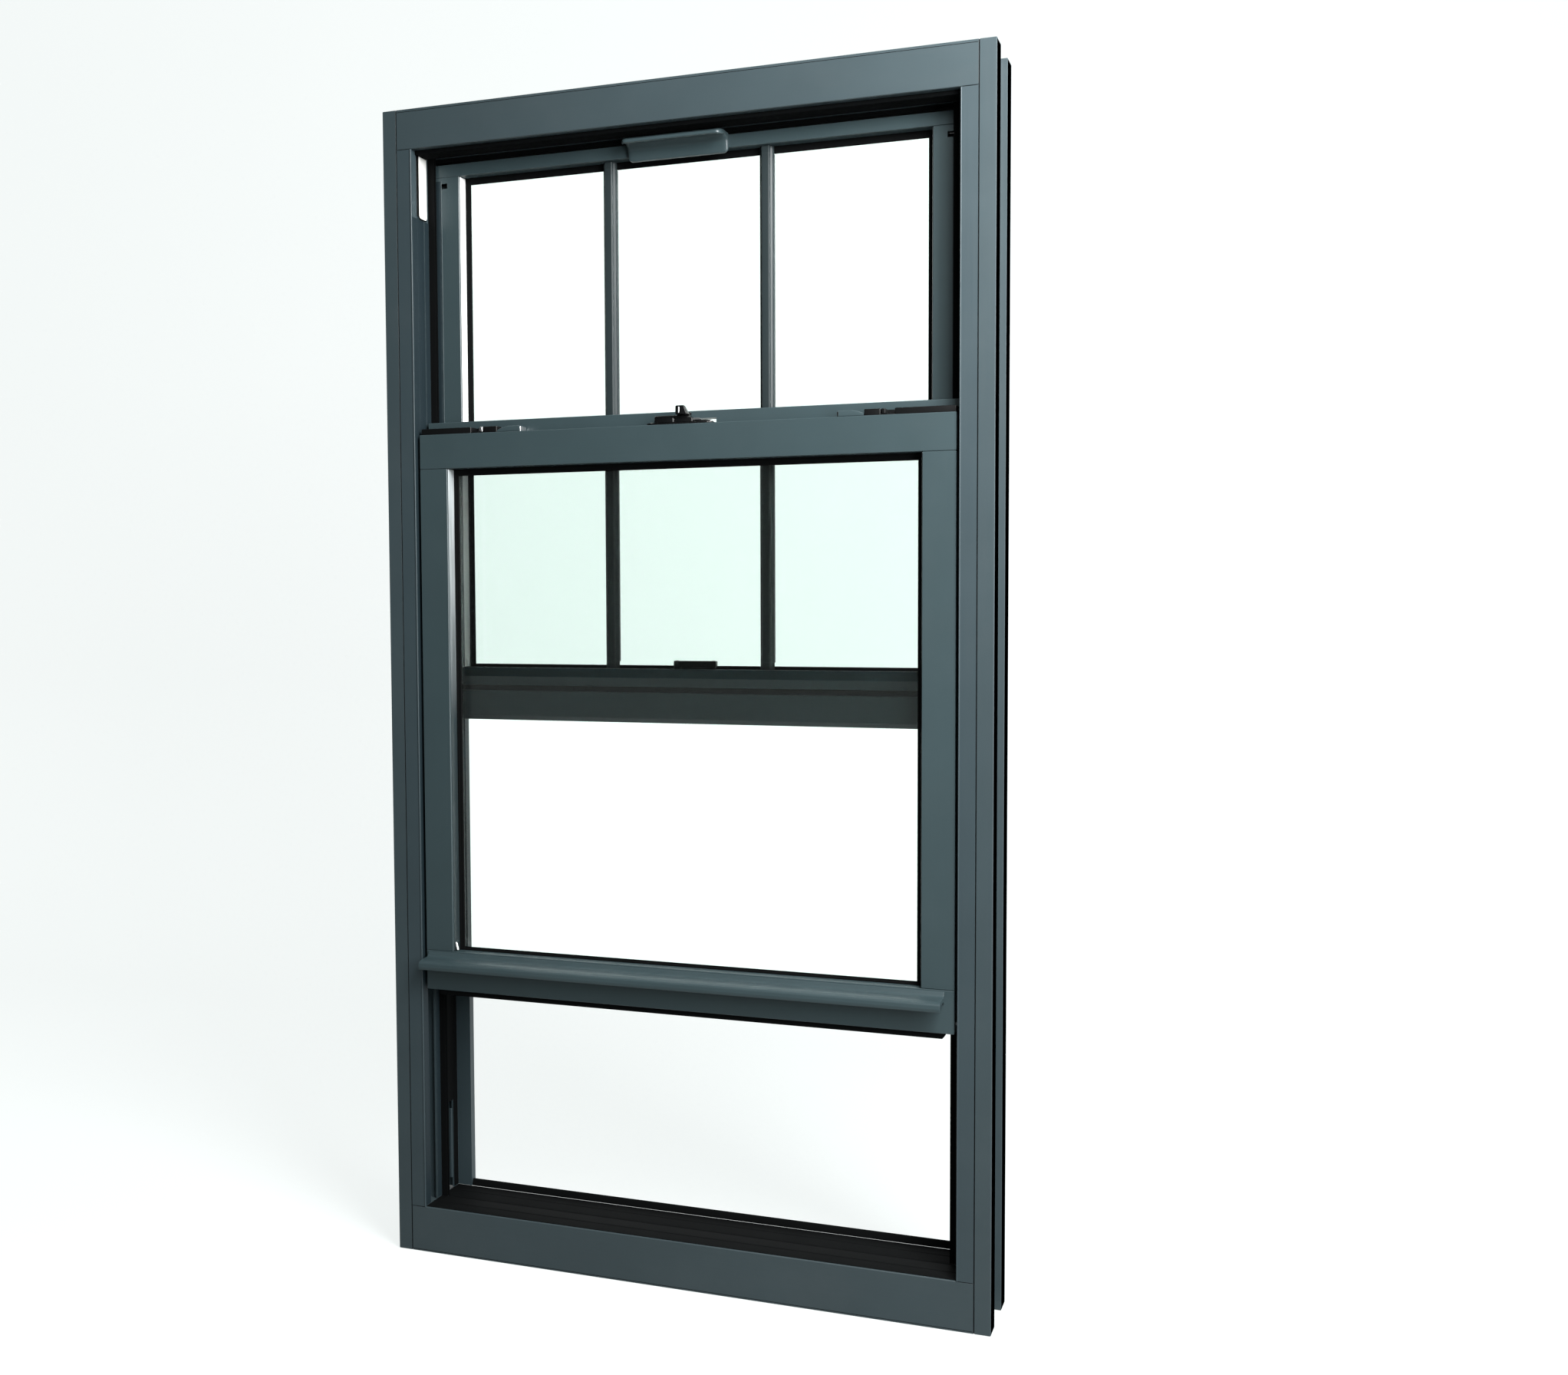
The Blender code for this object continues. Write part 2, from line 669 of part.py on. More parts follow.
def tilt_latch(side, sign, sash, group, cutters, finishes):
    """Latch housing on the check rail's ledge, with its spring bolt drawn in."""
    outer = SASH_HALF - 2 * GAP
    y_bolt = LOWER_FRONT + 0.0145
    base = CHECK_TOP + GAP
    floor = base + LATCH_FLOOR
    low, high = ends(sign, outer - LATCH_LENGTH, outer)
    housing = box(
        f"tilt_latch_{side}_housing",
        (low, LOWER_FRONT + 0.003, base),
        (high, upper_ledge() - GAP, base + LATCH_HEIGHT),
        group, finishes["latch"], 0.0012,
    )
    low, high = ends(sign, outer - BOLT_LENGTH - 0.002, outer + 0.02)
    tunnel = box(
        f"latch_{side}_tunnel",
        (low, y_bolt - BOLT_WIDTH / 2 - GAP, floor),
        (high, y_bolt + BOLT_WIDTH / 2 + GAP, floor + BOLT_HEIGHT + 2 * GAP),
        cutters,
    )
    slot_end = outer - BOLT_LENGTH - 0.001
    low, high = ends(sign, slot_end, slot_end + THUMB_SLOT)
    slot = box(
        f"latch_{side}_slot",
        (low, y_bolt - THUMB_WIDTH / 2 - 0.0004, base + LATCH_HEIGHT / 2),
        (high, y_bolt + THUMB_WIDTH / 2 + 0.0004, base + 3 * LATCH_HEIGHT),
        cutters,
    )
    cut(housing, tunnel, slot)
    low, high = ends(sign, outer - BOLT_LENGTH, SASH_HALF - GAP)
    bolt = box(
        f"tilt_latch_{side}_bolt",
        (low, y_bolt - BOLT_WIDTH / 2, floor + GAP),
        (high, y_bolt + BOLT_WIDTH / 2, floor + GAP + BOLT_HEIGHT),
        group, finishes["steel"], EDGE,
    )
    low, high = ends(sign, outer - BOLT_LENGTH, outer - BOLT_LENGTH + THUMB_LENGTH)
    thumb = box(
        f"latch_{side}_thumb",
        (low, y_bolt - THUMB_WIDTH / 2, floor + BOLT_HEIGHT / 2),
        (high, y_bolt + THUMB_WIDTH / 2, base + LATCH_HEIGHT + THUMB_RISE),
        cutters,
    )
    join(bolt, thumb)
    attach(bodies(f"lower_latch_{side}", (sign * outer, y_bolt, base), sash), bolt)
    return [housing]


def upper_ledge():
    """Back of the check rail's ledge, where its upstand begins."""
    return LOWER_FRONT + CHECK_LEDGE


def sash_lock(sash, group, cutters, finishes):
    """Cam lock: a footed body on the check rail's ledge, its thumb lever above and its cam inside."""
    front = LOWER_FRONT + 0.002
    back = upper_ledge() - GAP
    y_axis = LOWER_FRONT + 0.010
    base = CHECK_TOP + GAP
    top = base + LOCK_HEIGHT
    outline = [
        (-LOCK_LEFT, base),
        (LOCK_RIGHT, base),
        (LOCK_RIGHT, base + LOCK_FOOT * 0.6),
        (LOCK_BODY_RIGHT + 0.006, base + LOCK_FOOT * 0.6),
        (LOCK_BODY_RIGHT, top),
        (-LOCK_BODY_LEFT + 0.002, top),
        (-LOCK_BODY_LEFT, base + LOCK_FOOT),
        (-LOCK_LEFT, base + LOCK_FOOT),
    ]
    body = prism("sash_lock_base", [outline], "y", front, back, group, finishes["latch"], EDGE)
    cam_low = base + LOCK_FLOOR + GAP
    space = box(
        "lock_cam_space",
        (LOCK_AXIS - CAM_WIDTH / 2 - 0.004, front + 0.002, base + LOCK_FLOOR),
        (LOCK_RIGHT + 0.01, LOWER_BACK + 0.01, cam_low + CAM_THICKNESS + GAP),
        cutters,
    )
    well = rod(
        "lock_spindle_hole", SPINDLE_RADIUS + GAP, "z", cam_low + CAM_THICKNESS / 2, top + 0.04,
        (LOCK_AXIS, y_axis), cutters,
    )
    cut(body, space, well)
    hub_low = top + GAP
    hub_high = hub_low + HUB_HEIGHT
    lever = rod(
        "sash_lock_lever", HUB_RADIUS, "z", hub_low, hub_high, (LOCK_AXIS, y_axis), group,
        finishes["latch"],
    )
    tip_y = y_axis - LEVER_LENGTH
    thumb = prism(
        "lock_lever_thumb",
        [[(LOCK_AXIS - 0.0065, hub_low), (LOCK_AXIS + 0.0078, hub_low),
          (LOCK_AXIS + 0.0030, hub_low + LEVER_RISE), (LOCK_AXIS - 0.0065, hub_low + LEVER_RISE)]],
        "y", tip_y, tip_y + 0.0065, cutters,
    )
    arm = box(
        "lock_lever_arm",
        (LOCK_AXIS - 0.0055, tip_y + 0.003, hub_low),
        (LOCK_AXIS + 0.0060, y_axis, hub_high),
        cutters,
    )
    spindle = rod(
        "lock_spindle", SPINDLE_RADIUS, "z", cam_low + GAP, top + 0.001, (LOCK_AXIS, y_axis), cutters
    )
    tongue = box(
        "lock_cam_tongue",
        (LOCK_AXIS, y_axis - CAM_WIDTH / 2, cam_low),
        (LOCK_AXIS + CAM_REACH, y_axis + CAM_WIDTH / 2, cam_low + CAM_THICKNESS),
        cutters,
    )
    join(lever, arm, thumb, spindle, tongue)
    turning = bodies("sash_lock", (LOCK_AXIS, y_axis, base), sash)
    attach(turning, lever)
    return body


def build_upper_sash(group, cutters, finishes, root):
    """The outdoor-side sash: its members, glass, two vertical bars, handle and keeper."""
    pivot_z = UPPER_BOTTOM + PIVOT_HEIGHT
    sash = bodies("upper_sash", (0, UPPER_TRACK, pivot_z), root)
    glass_low = UPPER_BOTTOM + UPPER_BOTTOM_RAIL
    glass_high = UPPER_TOP - UPPER_TOP_RAIL
    section = [(UPPER_FRONT + v, UPPER_TOP - u) for u, v in sash_section(UPPER_TOP_RAIL)]
    top = prism(
        "upper_top_rail", [section], "x", -SASH_HALF, SASH_HALF, group, finishes["sash"], EDGE
    )
    bottom = prism(
        "upper_bottom_rail", [grooved_rail_section()], "x",
        -SASH_HALF, SASH_HALF, group, finishes["sash"], EDGE,
    )
    made = [top, bottom]
    made += glazing("upper", UPPER_STILE, UPPER_FRONT, glass_low, glass_high, group, finishes)
    for side, sign in sides():
        upright = stile(
            f"upper_{side}_stile", sign, UPPER_STILE, UPPER_FRONT,
            glass_low, glass_high, group, finishes["sash"],
        )
        pivot = pivot_bar(f"upper_{side}_pivot_bar", sign, UPPER_TRACK, pivot_z, group, cutters, finishes)
        cut(bottom, pivot_pocket(f"upper_{side}", sign, UPPER_TRACK, pivot_z, cutters))
        shoe = balance_shoe(
            f"upper_{side}_balance_shoe", sign, UPPER_TRACK, pivot_z, group, cutters, finishes
        )
        made += [upright, pivot, shoe, muntin(side, sign, glass_low, glass_high, group, cutters, finishes)]
        upper_latch(side, sign, upright, sash, glass_high, group, cutters, finishes)
        balance(f"upper_{side}", sign, UPPER_TRACK, pivot_z, group, cutters, finishes, root)
    made.append(pull_handle(group, finishes))
    made.append(keeper(glass_low, group, cutters, finishes))
    attach(sash, *made)


def grooved_rail_section():
    """The upper sash's bottom rail, with the long groove in its face and a bevelled foot."""
    groove_top = 0.0405
    groove = 0.0065
    bevel = 0.0055
    section = [(UPPER_FRONT + v, UPPER_BOTTOM + u) for u, v in sash_section(UPPER_BOTTOM_RAIL)[1:]]
    foot = [
        (UPPER_FRONT + bevel, UPPER_BOTTOM),
        (UPPER_FRONT, UPPER_BOTTOM + bevel),
        (UPPER_FRONT, UPPER_BOTTOM + groove_top - groove),
        (UPPER_FRONT + 0.004, UPPER_BOTTOM + groove_top - groove),
        (UPPER_FRONT + 0.004, UPPER_BOTTOM + groove_top),
        (UPPER_FRONT, UPPER_BOTTOM + groove_top),
    ]
    return section + foot


def muntin(side, sign, glass_low, glass_high, group, cutters, finishes):
    """Vertical bar on the room pane; its ends lie over the gasket, against the sash's lips."""
    glass = UPPER_FRONT + LIP + GASKET + 2 * GAP
    back = glass - GAP
    front = back - MUNTIN_DEPTH
    half = MUNTIN_WIDTH / 2
    centre = sign * MUNTIN_PLACE
    slope = 0.002
    section = [
        (centre - half, back),
        (centre - half, front + slope),
        (centre - half + slope, front),
        (centre + half - slope, front),
        (centre + half, front + slope),
        (centre + half, back),
    ]
    low, high = glass_low + GAP, glass_high - GAP
    bar = prism(f"muntin_{side}", [section], "z", low, high, group, finishes["sash"])
    step = GASKET_SHOWS + GAP
    for end, (bottom, top) in (("low", (low - step, low + step)), ("high", (high - step, high + step))):
        notch = box(
            f"muntin_{side}_{end}_notch",
            (centre - MUNTIN_WIDTH, back - GASKET - GAP, bottom),
            (centre + MUNTIN_WIDTH, back + 0.01, top),
            cutters,
        )
        cut(bar, notch)
    return bar


def upper_latch(side, sign, upright, sash, glass_high, group, cutters, finishes):
    """Spring bolt let into the top of a stile, with an oval finger slot in front of it."""
    height = glass_high - 0.010
    half = UPPER_BOLT / 2
    seat = SASH_HALF - UPPER_STILE + REBATE  # the glass unit's edge lies just inside this
    inner = seat + LATCH_THROW + 2 * GAP
    low, high = ends(sign, inner, SASH_HALF + LATCH_THROW)
    bolt = box(
        f"upper_latch_{side}_bolt",
        (low, UPPER_TRACK - half, height - half),
        (high, UPPER_TRACK + half, height + half),
        group, finishes["steel"], 0.0008,
    )
    low, high = ends(sign, seat - REBATE / 2, SASH_HALF + 0.02)
    pocket = box(
        f"upper_latch_{side}_pocket",
        (low, UPPER_TRACK - half - GAP, height - half - GAP),
        (high, UPPER_TRACK + half + GAP, height + half + GAP),
        cutters,
    )
    near = SASH_HALF - WALL - 0.0036
    low, high = ends(sign, near - FINGER_SLOT, near)
    window = box(
        f"upper_latch_{side}_finger_slot",
        (low, UPPER_FRONT - 0.01, height - half + 0.001),
        (high, UPPER_TRACK - half + 0.001, height + half - 0.001),
        cutters,
    )
    cut(upright, pocket, window)
    attach(bodies(f"upper_latch_{side}", (sign * SASH_HALF, UPPER_TRACK, height), sash), bolt)


def pull_handle(group, finishes):
    """Finger pull on the top rail: a curved lip over a short back plate."""
    back = UPPER_FRONT - GAP
    top = SOFFIT - UPPER_DROP + 0.0005
    low = top - HANDLE_HEIGHT
    nose = back - HANDLE_REACH
    section = [
        (back, low),
        (back, top),
        (nose + 0.003, top),
        (nose, top - 0.0015),
        (nose, top - 0.0055),
        (nose + 0.0025, top - 0.0065),
        (nose + 0.006, top - 0.0040),
        (back - 0.0105, top - 0.0036),
        (back - 0.0055, top - 0.0065),
        (back - 0.0034, top - 0.0125),
        (back - 0.0030, low),
    ]
    half = HANDLE_LENGTH / 2
    return prism("pull_handle", [section], "x", -half, half, group, finishes["sash"], 0.0004)


def keeper(glass_low, group, cutters, finishes):
    """Strike on the upper sash's bottom rail that the lock's cam turns into."""
    low = glass_low + GAP
    near, far = LOCK_AXIS - KEEPER_LENGTH / 2, LOCK_AXIS + KEEPER_LENGTH / 2
    made = box(
        "lock_keeper",
        (near, UPPER_FRONT + GAP, low),
        (far, UPPER_FRONT + KEEPER_DEPTH, low + KEEPER_HEIGHT),
        group, finishes["latch"], 0.0006,
    )
    mouth = box(
        "keeper_mouth",
        (near + KEEPER_DEPTH, UPPER_FRONT - 0.01, low + 0.0015),
        (far - KEEPER_DEPTH, UPPER_FRONT + 0.0045, low + 0.0070),
        cutters,
    )
    cut(made, mouth)
    return made


def main():
    clear_scene()
    group = collection("double_hung_window")
    cutters = collection("cutters", shown=False)
    finishes = {
        "frame": finish("graphite_vinyl", (0.075, 0.108, 0.118), 0.42),
        "liner": finish("graphite_liner", (0.070, 0.100, 0.110), 0.5),
        "sash": finish("graphite_sash", (0.078, 0.112, 0.122), 0.4),
        "rubber": finish("black_rubber", (0.008, 0.009, 0.010), 0.75),
        "glass": finish("clear_glass", (0.86, 0.95, 0.93), 0.04),
        "spacer": finish("spacer_bar", (0.72, 0.74, 0.74), 0.3, 1.0),
        "nylon": finish("white_nylon", (0.80, 0.80, 0.78), 0.5),
        "latch": finish("black_latch", (0.012, 0.013, 0.014), 0.35),
        "steel": finish("zinc_steel", (0.55, 0.56, 0.57), 0.32, 1.0),
    }
    root = bodies("frame", (0, 0, 0))
    build_frame(group, cutters, finishes, root)
    build_lower_sash(group, cutters, finishes, root)
    build_upper_sash(group, cutters, finishes, root)


main()
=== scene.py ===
"""Finishes, moulded details, glazing and studio for a double-hung sash window.

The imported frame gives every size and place. Each sub-assembly is a class that measures its own
CAD nodes, makes the finer surfaces that stand for them and dresses the rest. Lengths are metres,
+X is to the right as seen from the room, +Y is outdoors and +Z is up.
"""

import json
import logging
import math
from dataclasses import dataclass, field
from enum import Enum
from typing import Any, ClassVar

import bpy
import numpy as np
from mathutils import Matrix, Vector


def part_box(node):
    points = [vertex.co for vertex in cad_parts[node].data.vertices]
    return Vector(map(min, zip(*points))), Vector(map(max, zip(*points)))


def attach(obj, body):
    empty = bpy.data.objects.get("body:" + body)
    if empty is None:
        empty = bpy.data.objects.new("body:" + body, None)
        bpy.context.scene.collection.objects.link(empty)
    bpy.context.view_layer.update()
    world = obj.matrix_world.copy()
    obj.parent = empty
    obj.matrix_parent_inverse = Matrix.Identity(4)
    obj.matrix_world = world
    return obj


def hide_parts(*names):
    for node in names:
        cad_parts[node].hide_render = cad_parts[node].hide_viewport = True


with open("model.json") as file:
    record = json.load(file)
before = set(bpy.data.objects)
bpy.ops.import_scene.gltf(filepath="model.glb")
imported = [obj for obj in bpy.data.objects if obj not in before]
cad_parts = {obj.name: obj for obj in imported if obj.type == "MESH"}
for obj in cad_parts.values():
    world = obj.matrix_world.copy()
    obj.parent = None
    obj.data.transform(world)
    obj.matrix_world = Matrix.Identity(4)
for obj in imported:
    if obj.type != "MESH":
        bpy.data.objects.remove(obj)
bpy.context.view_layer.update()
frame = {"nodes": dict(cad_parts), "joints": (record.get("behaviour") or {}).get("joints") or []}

LOG = logging.getLogger("sash_window")
HAIR = 0.0002  # smallest clearance between two drawn pieces
ARC_STEPS = 6


class Run(Enum):
    """The way a member was drawn through its die."""

    UPRIGHT = (1.0, 1.0, 0.015)
    ACROSS = (0.015, 1.0, 1.0)


class Side(Enum):
    """The two ends of the window, by the sign of X."""

    LEFT = -1
    RIGHT = 1

    @property
    def word(self) -> str:
        """The side as it is written in a node's name."""
        return self.name.lower()


class Lying(Enum):
    """The axis that an outline is carried along, and the order its coordinates go in."""

    X = (2, 0, 1)  # outline in (Y, Z)
    Y = (0, 2, 1)  # outline in (X, Z)
    Z = (0, 1, 2)  # outline in (X, Y)


# Surfaces -----------------------------------------------------------------------------------


def filleted(corners: np.ndarray, radii: np.ndarray | float, steps: int = ARC_STEPS) -> np.ndarray:
    """A closed outline whose corners are arcs.

    Each arc's centre lies on the corner's bisector, at radius / sin(half the corner's angle), and
    its points turn evenly from one tangent point to the other.

    Args:
        corners: The outline's corners, one row each.
        radii: One radius for all, or one for each corner.
        steps: Points on each arc.

    Returns:
        The rounded outline, one row a point.
    """
    corners = np.asarray(corners, float)
    before = np.roll(corners, 1, axis=0) - corners
    after = np.roll(corners, -1, axis=0) - corners
    length_before = np.linalg.norm(before, axis=1, keepdims=True)
    length_after = np.linalg.norm(after, axis=1, keepdims=True)
    before, after = before / length_before, after / length_after
    half = np.arccos(np.clip((before * after).sum(axis=1), -0.9999, 0.9999))[:, None] / 2
    shortest = np.minimum(length_before, length_after)
    wanted = np.broadcast_to(np.asarray(radii, float).reshape(-1, 1), half.shape)
    radius = np.minimum(wanted, 0.49 * shortest * np.tan(half)) + 1e-7
    bisector = before + after
    bisector = bisector / np.maximum(np.linalg.norm(bisector, axis=1, keepdims=True), 1e-9)
    centre = corners + bisector * radius / np.sin(half)
    reach = radius / np.tan(half)
    start = corners + before * reach - centre
    end = corners + after * reach - centre
    turn = (math.pi - 2 * half)[:, None]
    share = np.linspace(0, 1, steps)[None, :, None]
    points = np.sin((1 - share) * turn) * start[:, None] + np.sin(share * turn) * end[:, None]
    return (centre[:, None] + points / np.sin(turn)).reshape(-1, 2)


def ring_faces(rings: int, around: int, closed: bool) -> np.ndarray:
    """Quads between neighbouring rings of a grid of points.

    Args:
        rings: Number of rings.
        around: Points in each ring.
        closed: Whether the last ring joins the first.

    Returns:
        One row of four point numbers for each quad.
    """
    ring = np.arange(rings if closed else rings - 1)[:, None]
    step = np.arange(around)[None, :]
    here = ring * around + step
    beside = ring * around + (step + 1) % around
    above = (ring + 1) % rings * around + step
    above_beside = (ring + 1) % rings * around + (step + 1) % around
    return np.stack([here, beside, above_beside, above], axis=-1).reshape(-1, 4)


def mesh_piece(name: str, points: np.ndarray, faces: list, soft: float = 16.0) -> bpy.types.Object:
    """A new object at the origin from points and faces, its normals turned outwards.

    Args:
        name: The piece's name.
        points: One row of X, Y, Z a point.
        faces: Lists of point numbers.
        soft: Faces meeting at less than this many degrees are shaded as one surface.

    Returns:
        The object, linked to the scene.
    """
    mesh = bpy.data.meshes.new(name)
    mesh.from_pydata(points.reshape(-1, 3).tolist(), [], faces)
    mesh.validate()
    mesh.calc_loop_triangles()
    corners = np.zeros(len(mesh.loop_triangles) * 3, np.int32)
    mesh.loop_triangles.foreach_get("vertices", corners)
    triangles = points.reshape(-1, 3)[corners.reshape(-1, 3)]
    if np.linalg.det(triangles - points.reshape(-1, 3).mean(axis=0)).sum() < 0:
        mesh.flip_normals()
    mesh.shade_smooth()
    mesh.set_sharp_from_angle(angle=math.radians(soft))
    piece = bpy.data.objects.new(name, mesh)
    bpy.context.scene.collection.objects.link(piece)
    return piece


def lofted(name: str, rings: np.ndarray, soft: float = 16.0) -> bpy.types.Object:
    """A closed skin over a stack of rings, with a flat face at each end.

    Args:
        name: The piece's name.
        rings: Points as (ring, point, XYZ).
        soft: Angle in degrees below which faces shade as one.

    Returns:
        The piece.
    """
    count, around = rings.shape[:2]
    first = list(range(around))[::-1]
    last = [(count - 1) * around + step for step in range(around)]
    faces = ring_faces(count, around, closed=False).tolist() + [first, last]
    return mesh_piece(name, rings, faces, soft)


def carried(
    name: str, outline: np.ndarray, lying: Lying, low: float, high: float, eased: float = 0.0006
) -> bpy.types.Object:
    """An outline carried straight along one axis, its two end edges eased by a bevel.

    Args:
        name: The piece's name.
        outline: The section's points.
        lying: The axis and the coordinates that the outline holds.
        low: Where the piece starts on that axis.
        high: Where it ends.
        eased: Width of the bevel at the ends.

    Returns:
        The piece.
    """
    places = np.array([low, high])
    columns = [
        np.tile(outline[:, 0], (2, 1)),
        np.tile(outline[:, 1], (2, 1)),
        np.tile(places[:, None], (1, len(outline))),
    ]
    rings = np.stack([columns[index] for index in lying.value], axis=-1)
    piece = lofted(name, rings)
    bevel = piece.modifiers.new("eased ends", "BEVEL")
    bevel.width = eased
    bevel.segments = 3
    bevel.limit_method = "ANGLE"
    bevel.angle_limit = math.radians(50)
    return piece


def mitred(
    name: str, outline: np.ndarray, low: Vector, high: Vector, hidden: float = 0.0, foot: float = 1.0
) -> bpy.types.Object:
    """A section carried round a rectangle with mitred corners.

    A point (inset, y) of the section lies inset inside the rectangle on every side, so at each
    corner both X and Z move in by the same amount.

    Args:
        name: The piece's name.
        outline: The section as (inset from the rectangle, Y).
        low: The rectangle's lowest corner.
        high: Its highest corner.
        hidden: Inset up to which the section lies inside the members.
        foot: Share of the rest of the section that shows along the bottom.

    Returns:
        The piece.
    """
    inset = outline[:, 0]
    low_inset = np.where(inset > hidden, hidden + (inset - hidden) * foot, inset)
    rise = np.stack([low_inset, low_inset, inset, inset])
    corner_x = np.array([low.x, high.x, high.x, low.x])
    corner_z = np.array([low.z, low.z, high.z, high.z])
    inward_x = np.array([1.0, -1.0, -1.0, 1.0])
    inward_z = np.array([1.0, 1.0, -1.0, -1.0])
    rings = np.stack(
        [
            corner_x[:, None] + inward_x[:, None] * outline[None, :, 0],
            np.tile(outline[:, 1], (4, 1)),
            corner_z[:, None] + inward_z[:, None] * rise,
        ],
        axis=-1,
    )
    return mesh_piece(name, rings, ring_faces(4, len(outline), closed=True).tolist())


def turned(
    name: str, profile: np.ndarray, axis: Lying, centre: Vector, steps: int = 40
) -> bpy.types.Object:
    """A profile of (radius, height) turned about an axis through a centre.

    Args:
        name: The piece's name.
        profile: Radius and height of each ring; its ends have a small radius.
        axis: The axis that heights run along.
        centre: Where height 0 lies.
        steps: Points round the axis.

    Returns:
        The piece.
    """
    angle = np.linspace(0, 2 * math.pi, steps, endpoint=False)
    across = profile[:, 0, None] * np.cos(angle)
    along = profile[:, 0, None] * np.sin(angle)
    height = np.tile(profile[:, 1, None], (1, steps))
    columns = [across, along, height]
    rings = np.stack([columns[index] for index in axis.value], axis=-1)
    return lofted(name, rings + np.array(centre))


def block_rings(
    low: Vector, high: Vector, corner: float, crown: float, taper: float = 0.0, steps: int = 5
) -> np.ndarray:
    """Rings of a moulded block: upright sides with round corners, and edges that roll over on top.

    Near the top each ring moves in by crown * (1 - cos t) while it rises by crown * sin t.

    Args:
        low: Lowest corner.
        high: Highest corner.
        corner: Radius of the upright corners.
        crown: Radius of the rolled top edge.
        taper: How far each side leans in over the height.
        steps: Rings in the rolled edge.

    Returns:
        Points as (ring, point, XYZ).
    """
    turn = np.linspace(0, math.pi / 2, steps)
    height = np.concatenate([[low.z, low.z + crown * 0.4], high.z - crown + crown * np.sin(turn)])
    rolled = np.concatenate([[crown * 0.25, 0.0], crown * (1 - np.cos(turn))])
    inset = rolled + taper * (height - low.z) / (high.z - low.z)
    middle = (np.array(low) + np.array(high))[:2] / 2
    half = (np.array(high) - np.array(low))[:2] / 2
    square = np.array([[-1.0, -1.0], [1.0, -1.0], [1.0, 1.0], [-1.0, 1.0]])
    outline = filleted(square * half, corner)
    shrink = 1 - inset[:, None, None] / half[None, None, :]
    flat = middle + outline[None] * shrink
    return np.concatenate([flat, np.tile(height[:, None, None], (1, len(outline), 1))], axis=-1)


# Node building ------------------------------------------------------------------------------


class Nodes:
    """Adds and links the nodes of one material or group."""

    def __init__(self, tree: bpy.types.NodeTree) -> None:
        """Keeps the tree that nodes go in."""
        self.tree = tree

    def add(self, kind: str, inputs: dict[Any, Any] | None = None, **settings: Any) -> bpy.types.Node:
        """Adds one node.

        Args:
            kind: Blender's type name for it, without the ShaderNode in front.
            inputs: Values or source sockets for its inputs, by name or number.
            settings: Its other settings.

        Returns:
            The node.
        """
        node = self.tree.nodes.new("ShaderNode" + kind)
        for key, value in settings.items():
            setattr(node, key, value)
        for key, value in (inputs or {}).items():
            if isinstance(value, bpy.types.NodeSocket):
                self.tree.links.new(value, node.inputs[key])
            else:
                node.inputs[key].default_value = value
        return node

    def blend(self, factor: bpy.types.NodeSocket, first: Any, second: Any) -> bpy.types.NodeSocket:
        """Mixes two colours by a mask and gives the colour socket."""
        mix = self.add("Mix", {0: factor}, data_type="RGBA")
        for index, value in ((6, first), (7, second)):
            if isinstance(value, bpy.types.NodeSocket):
                self.tree.links.new(value, mix.inputs[index])
            else:
                mix.inputs[index].default_value = (*value, 1.0)
        return mix.outputs[2]

    def spread(self, value: bpy.types.NodeSocket, low: float, high: float) -> bpy.types.NodeSocket:
        """Stretches a 0 to 1 value over a new range and gives its socket."""
        return self.add("MapRange", {0: value, 3: low, 4: high}).outputs[0]


def shader_group(name: str, inputs: dict[str, tuple[str, Any]], outputs: list[str]) -> bpy.types.NodeTree:
    """An empty node group with named sockets.

    Args:
        name: The group's name.
        inputs: Socket type and starting value for each input.
        outputs: Names of its value outputs.

    Returns:
        The group's tree.
    """
    tree = bpy.data.node_groups.new(name, "ShaderNodeTree")
    for label, (kind, value) in inputs.items():
        socket = tree.interface.new_socket(name=label, in_out="INPUT", socket_type=kind)
        if value is not None:
            socket.default_value = value
    for label in outputs:
        tree.interface.new_socket(name=label, in_out="OUTPUT", socket_type="NodeSocketFloat")
    return tree


def fine_grain_group() -> bpy.types.NodeTree:
    """Pebbled surface of a moulded or extruded plastic: a fine noise, and a slow one for tone."""
    tree = shader_group(
        "fine grain",
        {"Vector": ("NodeSocketVector", None), "Scale": ("NodeSocketFloat", 900.0)},
        ["Height", "Tone"],
    )
    nodes = Nodes(tree)
    given = nodes.tree.nodes.new("NodeGroupInput")
    fine = nodes.add(
        "TexNoise", {"Vector": given.outputs["Vector"], "Scale": given.outputs["Scale"], "Detail": 3.0}
    )
    slow_scale = nodes.add("Math", {0: given.outputs["Scale"], 1: 0.008}, operation="MULTIPLY")
    slow = nodes.add(
        "TexNoise",
        {"Vector": given.outputs["Vector"], "Scale": slow_scale.outputs[0], "Detail": 2.0},
    )
    out = tree.nodes.new("NodeGroupOutput")
    tree.links.new(fine.outputs["Fac"], out.inputs["Height"])
    tree.links.new(slow.outputs["Fac"], out.inputs["Tone"])
    return tree


def drawn_lines_group() -> bpy.types.NodeTree:
    """Faint die lines: a noise whose Vector is squeezed along the member, so it runs in streaks."""
    tree = shader_group(
        "drawn lines",
        {"Vector": ("NodeSocketVector", None), "Scale": ("NodeSocketFloat", 420.0)},
        ["Lines"],
    )
    nodes = Nodes(tree)
    given = tree.nodes.new("NodeGroupInput")
    streaks = nodes.add(
        "TexNoise",
        {"Vector": given.outputs["Vector"], "Scale": given.outputs["Scale"], "Detail": 2.0},
    )
    out = tree.nodes.new("NodeGroupOutput")
    tree.links.new(streaks.outputs["Fac"], out.inputs["Lines"])
    return tree


